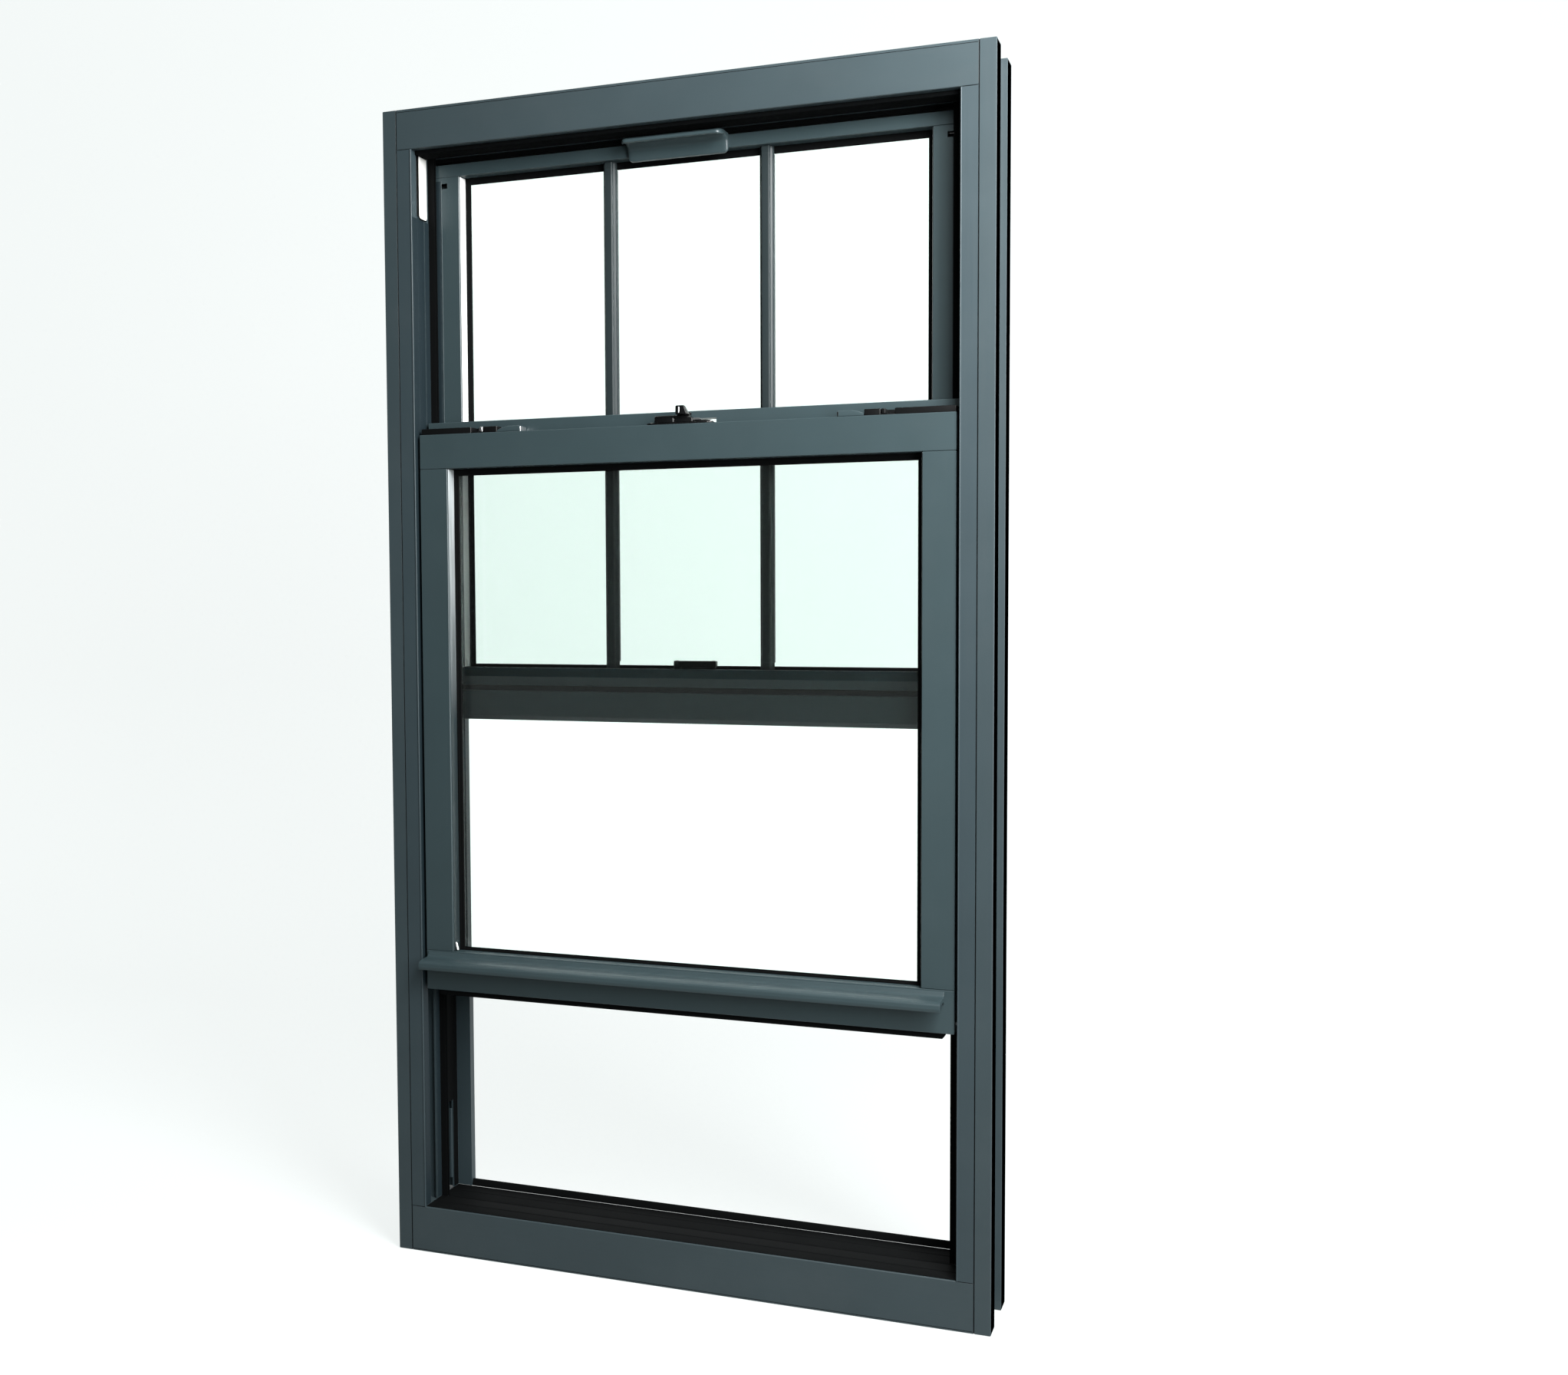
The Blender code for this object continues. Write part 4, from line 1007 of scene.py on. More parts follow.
@dataclass
class TrackLiners(Assembly):
    """Track liners with their stops, snap-in covers over the channels in a darker painted-shade colour, and
    the balances in them.
    """

    cover_wall: float = 0.0009
    travel: float = 0.262

    def build(self) -> None:
        """Dresses the liners and stops and makes the covers and the balances' own parts."""
        dress(LINER, "left_track_liner", "right_track_liner")
        dress(RUBBER, "left_parting_stop", "right_parting_stop")
        for side in Side:
            self.cover(side)
            self.walls(side)
            self.fins(side)
            for sash in ("lower", "upper"):
                self.housing(side, sash)
                self.shoe(side, sash)
                dress(TAPE, f"{sash}_{side.word}_balance_tape")
                dress(STEEL, f"{sash}_{side.word}_pivot_bar")

    def cover(self, side: Side) -> None:
        """A strip that closes the room-side channel above the highest place of its shoe, darker than the
        liner as painted shade.
        """
        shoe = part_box(f"lower_{side.word}_balance_shoe")
        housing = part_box(f"lower_{side.word}_coil_housing")
        middle = (shoe[0].y + shoe[1].y) / 2
        half = 0.0072
        inner = abs(shoe[0].x if side is Side.RIGHT else shoe[1].x) - 0.0023
        face = side.value * (inner + 0.0004)
        back = face + side.value * self.cover_wall
        corners = np.array([(face, middle - half), (back, middle - half), (back, middle + half),
                            (face, middle + half)])
        low = shoe[1].z + self.travel + 0.004
        high = housing[0].z - 0.001
        piece = carried(f"track_cover_{side.word}", filleted(corners, 0.0003), Lying.Z, low, high, 0.0003)
        self.keep(fit(piece, SHADE_GRAPHITE, "frame"))

    def housing(self, side: Side, sash: str) -> None:
        """The coil's moulded housing: a crowned block, with ribs across the open face of the upper sash's
        housing and a face plate on the lower sash's.
        """
        node = f"{sash}_{side.word}_coil_housing"
        low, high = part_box(node)
        piece = lofted(node + "_moulding", block_rings(low, high, 0.0015, 0.0012))
        self.keep(fit(piece, NYLON, "frame", node))
        face = low.x if side is Side.RIGHT else high.x
        if sash == "lower":
            self.housing_plate(side, node)
            return
        count = 5
        for index in range(count):
            z = low.z + (index + 1) * (high.z - low.z) / (count + 1)
            near, far = sorted((face, face - side.value * 0.0011))
            rib_low = Vector((near, low.y + 0.004, z - 0.0008))
            rib_high = Vector((far, high.y - 0.004, z + 0.0008))
            rib = lofted(f"{node}_rib_{index}", block_rings(rib_low, rib_high, 0.0004, 0.0004))
            self.keep(fit(rib, NYLON, "frame"))

    def housing_plate(self, side: Side, node: str) -> None:
        """The housing's face plate, round ended, in a black surround on the liner's wall; the surround's
        black stands in for the shade at the edge of the channel's mouth.
        """
        low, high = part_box(node)
        inner = liner_wall()
        middle = (low.y + high.y) / 2 + 0.0046
        foot, top = low.z - 0.0025, high.z - 0.0004
        for name, grown, thick, finish in (
            ("surround", 0.0012, 0.0003, RUBBER), ("plate", 0.0, 0.0008, NYLON),
        ):
            half = 0.0078 + grown
            corners = np.array([(middle - half, foot - grown), (middle + half, foot - grown),
                                (middle + half, top + min(grown, 0.0002)),
                                (middle - half, top + min(grown, 0.0002))])
            outline = filleted(corners, 0.0035 + grown, 8)
            near, far = sorted((side.value * (inner - HAIR), side.value * (inner - HAIR - thick)))
            piece = carried(f"{node}_{name}", outline, Lying.X, near, far, 0.0001)
            self.keep(fit(piece, finish, "frame"))

    def walls(self, side: Side) -> None:
        """Facings on the liner's inner wall as painted shade: dull darker graphite in the room track, black
        in the outer.
        """
        inner = liner_wall()
        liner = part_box("left_track_liner")
        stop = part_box("left_parting_stop")
        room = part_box("lower_left_balance_shoe")
        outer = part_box("upper_left_balance_shoe")
        room_mouth = (room[0].y + room[1].y) / 2
        outer_mouth = (outer[0].y + outer[1].y) / 2
        mouth = 0.0077
        foot, head = liner[0].z + 0.001, liner[1].z - 0.001
        plate_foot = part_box("lower_left_coil_housing")[0].z - 0.0042
        reach = self.travel + 0.004
        spans = {
            "room_front": (liner[0].y + 0.0014, room_mouth - mouth, foot, plate_foot, SHADE_GRAPHITE),
            "room_back": (room_mouth + mouth, stop[0].y - HAIR, foot, plate_foot, SHADE_GRAPHITE),
            "outer_front": (stop[1].y + HAIR, outer_mouth - mouth, foot, head, RUBBER),
            "outer_back": (outer_mouth + mouth, outer_mouth + 0.0172, foot, head, RUBBER),
            "outer_low": (outer_mouth - mouth + HAIR, outer_mouth + mouth - HAIR, foot + 0.106,
                          outer[0].z - reach, RUBBER),
            "outer_high": (outer_mouth - mouth + HAIR, outer_mouth + mouth - HAIR, outer[1].z + 0.012,
                           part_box("upper_left_coil_housing")[0].z - 0.001, RUBBER),
        }
        for name, (near_y, far_y, low_z, high_z, finish) in spans.items():
            low_x, high_x = sorted((side.value * (inner - HAIR), side.value * (inner - HAIR - 0.0003)))
            corners = np.array([(low_x, near_y), (high_x, near_y), (high_x, far_y), (low_x, far_y)])
            piece = carried(f"track_facing_{name}_{side.word}", filleted(corners, 0.0001, 3), Lying.Z,
                            low_z, high_z, 0.00005)
            self.keep(fit(piece, finish, "frame"))
        middle = outer_mouth + 0.0040
        near, far = sorted((side.value * (inner + 0.0030), side.value * (inner - 0.0004)))
        corners = np.array([(near, middle - 0.0011), (far, middle - 0.0011), (far, middle + 0.0011),
                            (near, middle + 0.0011)])
        clip = carried(f"take_out_clip_{side.word}", filleted(corners, 0.0006), Lying.Z, foot + 0.012,
                       foot + 0.096, 0.0009)
        self.keep(fit(clip, LINER, "frame"))

    def fins(self, side: Side) -> None:
        """A pile fin along the parting stop, wider on the right where its black also stands in for the shade
        in the gap, and a bright bead on the liner's inner front corner.
        """
        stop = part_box(f"{side.word}_parting_stop")
        edge = min(abs(stop[0].x), abs(stop[1].x))
        # Wider on the right: the fin's black there is also painted shade.
        reach = 0.0072 if side is Side.RIGHT else 0.0015
        near, far = sorted((side.value * (edge - HAIR), side.value * (edge - reach)))
        middle = (stop[0].y + stop[1].y) / 2
        corners = np.array([(near, middle - 0.0008), (far, middle - 0.0008), (far, middle + 0.0008),
                            (near, middle + 0.0008)])
        fin = carried(f"parting_fin_{side.word}", filleted(corners, 0.0005), Lying.Z, stop[0].z + 0.001,
                      stop[1].z - 0.001, 0.0003)
        self.keep(fit(fin, PILE, "frame"))
        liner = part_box("left_track_liner")
        angle = np.linspace(0, 2 * math.pi, 20, endpoint=False)
        centre_x = side.value * (liner_wall() + 0.0002)
        centre_y = liner[0].y + 0.0001
        ring = np.stack([centre_x + 0.0008 * np.cos(angle), centre_y + 0.0008 * np.sin(angle)], axis=-1)
        bead = carried(f"liner_bead_{side.word}", ring, Lying.Z, liner[0].z, liner[1].z - 0.0005, 0.0001)
        self.keep(fit(bead, LINER, "frame"))

    def shoe(self, side: Side, sash: str) -> None:
        """The sliding shoe: its CAD block with a brake collar round the pivot."""
        node = f"{sash}_{side.word}_balance_shoe"
        body = "lower_carriage" if sash == "lower" else "upper_sash"
        dress(NYLON, node)
        low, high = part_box(node)
        middle = Vector(((low.x + high.x) / 2, (low.y + high.y) / 2, high.z - 0.012))
        face = low.x if side is Side.RIGHT else high.x
        profile = np.array([(0.0044, 0.0), (0.0044, 0.0009), (0.0040, 0.0013), (0.0022, 0.0013),
                            (0.0018, 0.0006), (1e-6, 0.0006)])
        profile[:, 1] *= -side.value
        centre = Vector((face + side.value * 0.0002, middle.y, middle.z))
        knob = turned(node + "_brake", profile, Lying.X, centre)
        self.keep(fit(knob, STEEL, body))


@dataclass
class Glazing(Assembly):
    """One sash's glass unit: panes, spacer bar, gasket and the return of its beads, coloured pale as a
    painted highlight.
    """

    sash: str = "lower"
    bead_wall: float = 0.0005

    def build(self) -> None:
        """Makes the gasket, spacer and bead returns and dresses the panes."""
        body = f"{self.sash}_sash"
        dress(GLASS, f"{self.sash}_room_pane", f"{self.sash}_outer_pane")
        self.gasket(body)
        self.spacer(body)
        for side in Side:
            self.bead_return(side, body)

    def daylight(self) -> tuple[Vector, Vector]:
        """Corners of the opening between the sash's members."""
        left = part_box(f"{self.sash}_left_stile")[1]
        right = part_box(f"{self.sash}_right_stile")[0]
        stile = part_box(f"{self.sash}_left_stile")
        return Vector((left.x, stile[0].y, stile[0].z)), Vector((right.x, stile[1].y, stile[1].z))

    def gasket(self, body: str) -> None:
        """Rubber gasket: a bulb that rolls from the bead down to a thin lip on the glass."""
        node = f"{self.sash}_glazing_gasket"
        low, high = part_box(node)
        inner_low = self.daylight()[0]
        shows = 0.0075
        width = inner_low.x - low.x + shows
        thick = high.y - low.y
        corners = np.array([
            (0.0, high.y), (0.0, low.y), (width - 0.0052, low.y), (width - 0.0036, low.y + 0.3 * thick),
            (width - 0.0012, low.y + 0.35 * thick), (width, high.y - 0.0004), (width - 0.0003, high.y),
        ])
        outline = filleted(corners, np.array([0.0003, 0.0004, 0.0008, 0.0008, 0.001, 0.0002, 0.0001]))
        bulb = mitred(node + "_bulb", outline, low, high, inner_low.x - low.x, 0.5)
        self.keep(fit(bulb, RUBBER, body, node))

    def spacer(self, body: str) -> None:
        """Spacer bar: a shallow box section with a seam groove down the middle of its inner face."""
        node = f"{self.sash}_glass_spacer"
        low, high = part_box(node)
        width = 0.010
        middle = (low.y + high.y) / 2
        corners = np.array([
            (0.0, high.y), (0.0, low.y), (width - 0.001, low.y), (width, low.y + 0.0008),
            (width, middle - 0.0005), (width - 0.0007, middle - 0.0003),
            (width - 0.0007, middle + 0.0003), (width, middle + 0.0005),
            (width, high.y - 0.0008), (width - 0.001, high.y),
        ])
        outline = filleted(corners, 0.0002, 3)
        self.keep(fit(mitred(node + "_bar", outline, low, high), SPACER, body, node))

    def bead_return(self, side: Side, body: str) -> None:
        """The return of a vertical bead, between its dark face and the gasket, coloured pale as a painted
        highlight of the right-hand light's glare.
        """
        low, high = self.daylight()
        face = high.x if side is Side.RIGHT else low.x
        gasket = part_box(f"{self.sash}_glazing_gasket")[0]
        near = low.y + 0.0014
        far = gasket.y - HAIR
        inner = face - side.value * (HAIR + self.bead_wall)
        outer = face - side.value * HAIR
        corners = np.array([(outer, near), (inner, near + 0.0008), (inner - side.value * 0.0006, far),
                            (outer, far)])
        outline = filleted(corners, 0.0002, 4)
        name = f"{self.sash}_bead_return_{side.word}"
        piece = carried(name, outline, Lying.Z, low.z + 0.0004, high.z - 0.0004, 0.0001)
        self.keep(fit(piece, SHADED_BEAD if self.sash == "lower" else GLARE_WHITE, body))
        if side is Side.LEFT:
            self.corner_key(face, near, low.z, body)

    def corner_key(self, face: float, near: float, foot: float, body: str) -> None:
        """The corner key that shows below the left bead: a short plug leaning inwards, near-white as the same
        painted highlight.
        """
        start = Vector((face + 0.0006, near + 0.0010, foot + 0.0008))
        share = np.linspace(0, 1, 12)
        radius = 0.0012 * np.sqrt(np.clip(1 - (2 * share - 1) ** 8, 0.02, 1))
        angle = np.linspace(0, 2 * math.pi, 20, endpoint=False)
        rings = np.stack(
            [
                start.x + 0.0013 + radius[:, None] * np.cos(angle) + 0.0022 * (1 - share[:, None]),
                start.y + 0.0012 + radius[:, None] * np.sin(angle),
                np.tile((start.z + 0.0095 * share)[:, None], (1, 20)),
            ],
            axis=-1,
        )
        self.keep(fit(lofted(f"{self.sash}_corner_key", rings), GLARE_WHITE, body))


@dataclass
class Sashes(Assembly):
    """The members of both sashes and the two bars on the upper glass."""

    def build(self) -> None:
        """Dresses rails and stiles and makes the bars."""
        dress(SASH_ACROSS, "lower_check_rail", "lower_bottom_rail", "upper_top_rail", "upper_bottom_rail")
        dress(SASH_UPRIGHT, *(f"{sash}_{side.word}_stile" for sash in ("lower", "upper") for side in Side))
        dress(RUBBER, "lower_bottom_seal")
        dress(STEEL, "upper_latch_left_bolt", "upper_latch_right_bolt")
        self.groove_strip()
        for side in Side:
            self.bar(side)
            self.stile_step(side)

    def groove_strip(self) -> None:
        """Black strip in the long groove of the upper sash's bottom rail, standing in for the groove's shade.
        """
        low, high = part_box("upper_bottom_rail")
        front = low.y
        corners = np.array([
            (front + 0.0012, low.z + 0.0342), (front + 0.0037, low.z + 0.0342),
            (front + 0.0037, low.z + 0.0403), (front + 0.0012, low.z + 0.0403),
        ])
        strip = carried("upper_rail_groove_strip", filleted(corners, 0.0008), Lying.X, low.x + 0.001,
                        high.x - 0.001, 0.0003)
        self.keep(fit(strip, RUBBER, "upper_sash"))

    def stile_step(self, side: Side) -> None:
        """The upper stile's shaded outer margin and the fine ridge beside it."""
        low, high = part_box(f"upper_{side.word}_stile")
        edge = high.x if side is Side.RIGHT else low.x
        foot, head = low.z + 0.07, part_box("upper_top_rail")[0].z - 0.004
        spans = (("margin", 0.0006, 0.0096, 0.00015, SHADE_GRAPHITE),
                 ("ridge", 0.0098, 0.0108, 0.0005, SASH_UPRIGHT))
        for word, start, end, proud, finish in spans:
            near, far = sorted((edge - side.value * start, edge - side.value * end))
            corners = np.array([(near, low.y), (near, low.y - proud), (far, low.y - proud), (far, low.y)])
            piece = carried(f"upper_stile_{word}_{side.word}", filleted(corners, 0.0002, 4), Lying.Z,
                            foot, head, 0.0001)
            self.keep(fit(piece, finish, "upper_sash"))

    def bar(self, side: Side) -> None:
        """A vertical bar: a flat face, a quirk on each side of it and ovolo flanks to the glass."""
        node = f"muntin_{side.word}"
        low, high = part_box(node)
        middle = (low.x + high.x) / 2
        half = (high.x - low.x) / 2
        depth = high.y - low.y
        shape = np.array([
            (-1.0, 1.0), (-1.0, 0.62), (-0.86, 0.40), (-0.62, 0.30), (-0.58, 0.10), (-0.48, 0.0),
            (0.48, 0.0), (0.58, 0.10), (0.62, 0.30), (0.86, 0.40), (1.0, 0.62), (1.0, 1.0),
        ])
        corners = np.column_stack([middle + half * shape[:, 0], low.y + depth * shape[:, 1]])
        radii = np.array([0.0001, 0.001, 0.0015, 0.0004, 0.0004, 0.0005] * 2)
        radii[6:] = radii[:6][::-1]
        gasket = 0.0078
        piece = carried(node + "_moulding", filleted(corners, radii), Lying.Z, low.z + gasket,
                        high.z - gasket, 0.0002)
        self.keep(fit(piece, SHADED_BAR, "upper_sash", node))
        for end, z_low, z_high in (("foot", low.z, low.z + gasket), ("cap", high.z - gasket, high.z)):
            trimmed = corners.copy()
            trimmed[:, 1] = np.minimum(trimmed[:, 1], high.y - 0.0025)
            trimmed[0, 1] += 0.0001
            trimmed[-1, 1] += 0.0001
            nib = carried(f"{node}_{end}", filleted(trimmed, 0.0002), Lying.Z, z_low, z_high, 0.0001)
            self.keep(fit(nib, SHADED_BAR, "upper_sash"))


@dataclass
class LiftRail(Assembly):
    """The shelf-like finger rail along the lower sash."""

    def build(self) -> None:
        """Carries a smooth nose section along the whole rail."""
        low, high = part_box("lift_rail")
        back, nose, top = high.y, low.y, high.z
        corners = np.array([
            (back, top - 0.0002), (back - 0.0030, top - 0.0062), (nose + 0.0060, top - 0.0072),
            (nose + 0.0006, top - 0.0092), (nose, top - 0.0140), (nose + 0.0008, top - 0.0176),
            (nose + 0.0036, top - 0.0176), (nose + 0.0060, top - 0.0124),
            (back - 0.0040, top - 0.0104), (back, top - 0.0145),
        ])
        radii = np.array([0.0002, 0.0045, 0.006, 0.0030, 0.004, 0.0010, 0.0010, 0.0040, 0.003, 0.0004])
        outline = filleted(corners, radii, 14)
        end = high.x - 0.0072
        piece = carried("lift_rail_nose", outline, Lying.X, low.x, end, 0.0009)
        self.keep(fit(piece, SASH_ACROSS, "lower_sash", "lift_rail"))


@dataclass
class PullHandle(Assembly):
    """The curved finger pull on the upper sash's top rail."""

    steps: int = 48
    aside: float = 0.0055  # how far the pull stands left of the middle

    def build(self) -> None:
        """Carries the lip's section along X while its ends curl round in plan and front view.

        At a share s from the middle the section's reach is scaled by (1 - |s|^12)^(1/4) of the
        last part, so that the lip's corners are round.
        """
        low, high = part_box("pull_handle")
        back, nose, top, foot = high.y, low.y, high.z, low.z + 0.0030
        corners = np.array([
            (back, foot), (back, top), (nose + 0.0050, top), (nose, top - 0.0030),
            (nose + 0.0002, top - 0.0062), (nose + 0.0030, top - 0.0064), (nose + 0.0060, top - 0.0036),
            (back - 0.0120, top - 0.0034), (back - 0.0048, top - 0.0080), (back - 0.0032, foot + 0.0006),
        ])
        radii = np.array([0.0004, 0.0006, 0.0050, 0.0022, 0.0012, 0.0012, 0.002, 0.006, 0.005, 0.0008])
        outline = filleted(corners, radii, 12)
        share = np.sin(np.linspace(-1, 1, self.steps) * math.pi / 2)
        place = low.x + (high.x - low.x) * (share + 1) / 2
        inward = np.minimum(place - low.x, high.x - place)
        place = place - self.aside
        corner = 0.006
        gone = np.clip(1 - inward / corner, 0, 1)
        reach = 1 - 0.30 * (1 - np.sqrt(1 - 0.999 * gone**2))
        depth = back + (outline[None, :, 0] - back) * reach[:, None]
        drop = 1 - 0.22 * (1 - np.sqrt(1 - 0.999 * gone**2))
        height = top + (outline[None, :, 1] - top) * drop[:, None]
        rings = np.stack([np.tile(place[:, None], (1, len(outline))), depth, height], axis=-1)
        piece = lofted("pull_handle_lip", rings, 45.0)
        self.keep(fit(piece, SASH_ACROSS, "upper_sash", "pull_handle"))


@dataclass
class SashLock(Assembly):
    """Cam lock: footed base, thumb lever with a painted highlight, spindle hub, cam with a ramp painted
    bright as a highlight, and the keeper that takes it.
    """

    foot: float = 0.0019

    def build(self) -> None:
        """Makes every piece of the lock and its keeper."""
        low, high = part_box("sash_lock_base")
        axis = next(joint for joint in frame["joints"] if joint["name"] == "sash_lock_turn")["pos_m"]
        self.base(low, high, axis)
        self.lever(axis, low, high)
        self.keeper()

    def base(self, low: Vector, high: Vector, axis: list[float]) -> None:
        """A foot plate with round ends, and over it a body whose right shoulder slopes away."""
        foot_top = low.z + self.foot
        rings = block_rings(low, Vector((high.x, high.y, foot_top)), 0.007, 0.0008)
        plate = lofted("lock_foot_plate", rings)
        self.keep(fit(plate, BLACK_CASTING, "lower_sash", "sash_lock_base"))
        left = low.x + 0.010
        right = high.x - 0.0270
        shoulder = 0.0058
        cam_high = low.z + 0.0066
        rise = np.array([0.0, 0.15, 0.5, 0.8, 0.93, 1.0])
        inset = np.array([0.0, 0.0, 0.0002, 0.0005, 0.0011, 0.0022])
        z = cam_high + (high.z - cam_high) * rise
        lean = shoulder * (1 - (z - foot_top) / (high.z - foot_top))
        middle_y = (low.y + high.y) / 2
        half_y = (high.y - low.y) / 2 - 0.0004
        square = np.array([[-1.0, -1.0], [1.0, -1.0], [1.0, 1.0], [-1.0, 1.0]])
        half_x = (right + lean - left) / 2
        middle_x = (right + lean + left) / 2
        unit = filleted(square * [0.022, half_y], 0.003) / [0.022, half_y]
        rings = np.stack(
            [
                middle_x[:, None] + (half_x - inset)[:, None] * unit[None, :, 0],
                middle_y + (half_y - inset)[:, None] * unit[None, :, 1],
                np.tile(z[:, None], (1, len(unit))),
            ],
            axis=-1,
        )
        self.keep(fit(lofted("lock_body_cover", rings), BLACK_CASTING, "lower_sash"))
        wall_low = Vector((left, low.y + 0.0004, foot_top + HAIR))
        wall_high = Vector((axis[0] - 0.009, high.y - 0.0004, cam_high - HAIR))
        wall = lofted("lock_body_wall", block_rings(wall_low, wall_high, 0.003, 0.0003))
        self.keep(fit(wall, BLACK_CASTING, "lower_sash"))
        front_low = Vector((axis[0] - 0.0088, low.y + 0.0004, foot_top + HAIR))
        front_high = Vector((right + 0.0052, low.y + 0.0028, cam_high - HAIR))
        front = lofted("lock_body_front", block_rings(front_low, front_high, 0.0008, 0.0003, 0.0006))
        self.keep(fit(front, BLACK_CASTING, "lower_sash"))
        for word, x in (("left", low.x + 0.0050), ("right", high.x - 0.0035)):
            maker = Screw(radius=0.0026, height=0.0012)
            centre = Vector((x, middle_y - 0.001, foot_top))
            maker.build(f"lock_screw_{word}", Lying.Z, centre, 1, "lower_sash")
            self.pieces += maker.pieces

    def lever(self, axis: list[float], low: Vector, high: Vector) -> None:
        """Hub, upright thumb piece with a hollowed front and a bright strip down it as a painted highlight,
        spindle and the cam below, its ramp painted bright as a highlight.
        """
        node_low, node_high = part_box("sash_lock_lever")
        x, y = axis[0], axis[1]
        hub_low = high.z + 0.0003
        hub_high = hub_low + 0.0032
        hub = np.array([
            (1e-6, hub_low), (0.0074, hub_low), (0.0075, hub_low + 0.0004), (0.0075, hub_high - 0.0010),
            (0.0068, hub_high - 0.0002), (0.0056, hub_high), (1e-6, hub_high + 0.0002),
        ])
        cap = turned("lock_lever_hub", hub, Lying.Z, Vector((x, y, 0.0)))
        self.keep(fit(cap, BLACK_CASTING, "sash_lock", "sash_lock_lever"))
        share = np.linspace(0, 1, 16)
        z = hub_low + (node_high.z - hub_low) * share
        left = np.full_like(share, x - 0.0065)
        right = x + 0.0078 - 0.0046 * share**0.9
        crown = np.clip((share - 0.86) / 0.14, 0, 1)
        pinch = 0.0012 * (1 - np.sqrt(1 - 0.98 * crown**2))
        front = node_low.y + 0.0012 * share
        back = node_low.y + 0.0095 - 0.0034 * share
        square = np.array([[-1.0, -1.0], [1.0, -1.0], [1.0, 1.0], [-1.0, 1.0]])
        unit = filleted(square * [0.006, 0.004], 0.0016, 7) / [0.006, 0.004]
        half_x, half_y = (right - left) / 2 - pinch, (back - front) / 2 - pinch
        rings = np.stack(
            [
                ((left + right) / 2)[:, None] + half_x[:, None] * unit[None, :, 0],
                ((front + back) / 2)[:, None] + half_y[:, None] * unit[None, :, 1],
                np.tile(z[:, None], (1, len(unit))),
            ],
            axis=-1,
        )
        self.keep(fit(lofted("lock_lever_thumb", rings, 40.0), BLACK_CASTING, "sash_lock"))
        arm_low = Vector((x - 0.0055, node_low.y + 0.006, hub_low + 0.0002))
        arm_high = Vector((x + 0.0058, y - 0.002, hub_high - 0.0004))
        self.keep(fit(lofted("lock_lever_arm", block_rings(arm_low, arm_high, 0.0008, 0.0006)),
                      BLACK_CASTING, "sash_lock"))
        # Bright strip down the lever's front: a painted highlight.
        rib_low = Vector((x - 0.0034, node_low.y - 0.0001, hub_low + 0.0012))
        rib_high = Vector((x - 0.0014, node_low.y + 0.0020, node_high.z - 0.0016))
        self.keep(fit(lofted("lock_lever_highlight", block_rings(rib_low, rib_high, 0.0008, 0.0007)),
                      GLINT_ZINC, "sash_lock"))
        self.cam(x, y, low, node_high)

    def cam(self, x: float, y: float, low: Vector, node_high: Vector) -> None:
        """The cam: a black tongue round the spindle, and on its leading face a ramp painted bright as a
        highlight.
        """
        cam_low = low.z + 0.0021
        square = np.array([[-1.0, -1.0], [1.0, -1.0], [1.0, 1.0], [-1.0, 1.0]])
        unit = filleted(square, 0.25, 4)
        share = np.linspace(0, 1, 24)
        half = 0.0044 * np.sqrt(np.clip(1 - np.clip((share - 0.86) / 0.15, 0, 1) ** 2, 0.02, 1))
        tongue = self.bar_rings(x - 0.004 + 0.0348 * share, y, half, cam_low,
                                np.full_like(share, 0.0016), unit)
        self.keep(fit(lofted("lock_cam_tongue", tongue), BLACK_CASTING, "sash_lock"))
        thick = 0.0070 * (1 - share) ** 0.8 + 0.0004
        ramp = self.bar_rings(x + 0.0040 + 0.0170 * share, y, np.full_like(share, 0.0040),
                              cam_low + 0.0018, np.minimum(thick, 0.0024), unit)
        self.keep(fit(lofted("lock_cam_ramp", ramp), GLINT_ZINC, "sash_lock"))
        post = np.array([(1e-6, cam_low + 0.001), (0.0038, cam_low + 0.001), (0.0038, node_high.z - 0.008),
                         (1e-6, node_high.z - 0.008)])
        spindle = turned("lock_spindle", post, Lying.Z, Vector((x, y, 0.0)), 24)
        self.keep(fit(spindle, STEEL, "sash_lock"))

    @staticmethod
    def bar_rings(
        place: np.ndarray, middle: float, half: np.ndarray, foot: float, thick: np.ndarray, unit: np.ndarray
    ) -> np.ndarray:
        """Rings of a bar along X from its width and thickness at each place.

        Args:
            place: X of each ring.
            middle: Y of the bar's centre line.
            half: Half its width at each ring.
            foot: Z of its underside.
            thick: Its thickness at each ring.
            unit: Outline of the section in a square from -1 to 1.

        Returns:
            Points as (ring, point, XYZ).
        """
        return np.stack(
            [
                np.tile(place[:, None], (1, len(unit))),
                middle + half[:, None] * unit[None, :, 0],
                foot + thick[:, None] * (unit[None, :, 1] + 1) / 2,
            ],
            axis=-1,
        )

    def keeper(self) -> None:
        """The keeper: its CAD body, with a screw at each end."""
        dress(BLACK_CASTING, "lock_keeper")
        low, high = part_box("lock_keeper")
        for word, x in (("left", low.x + 0.0035), ("right", high.x - 0.0035)):
            maker = Screw(radius=0.0019, height=0.0009)
            centre = Vector((x, (low.y + high.y) / 2, high.z))
            maker.build(f"keeper_screw_{word}", Lying.Z, centre, 1, "upper_sash")
            self.pieces += maker.pieces


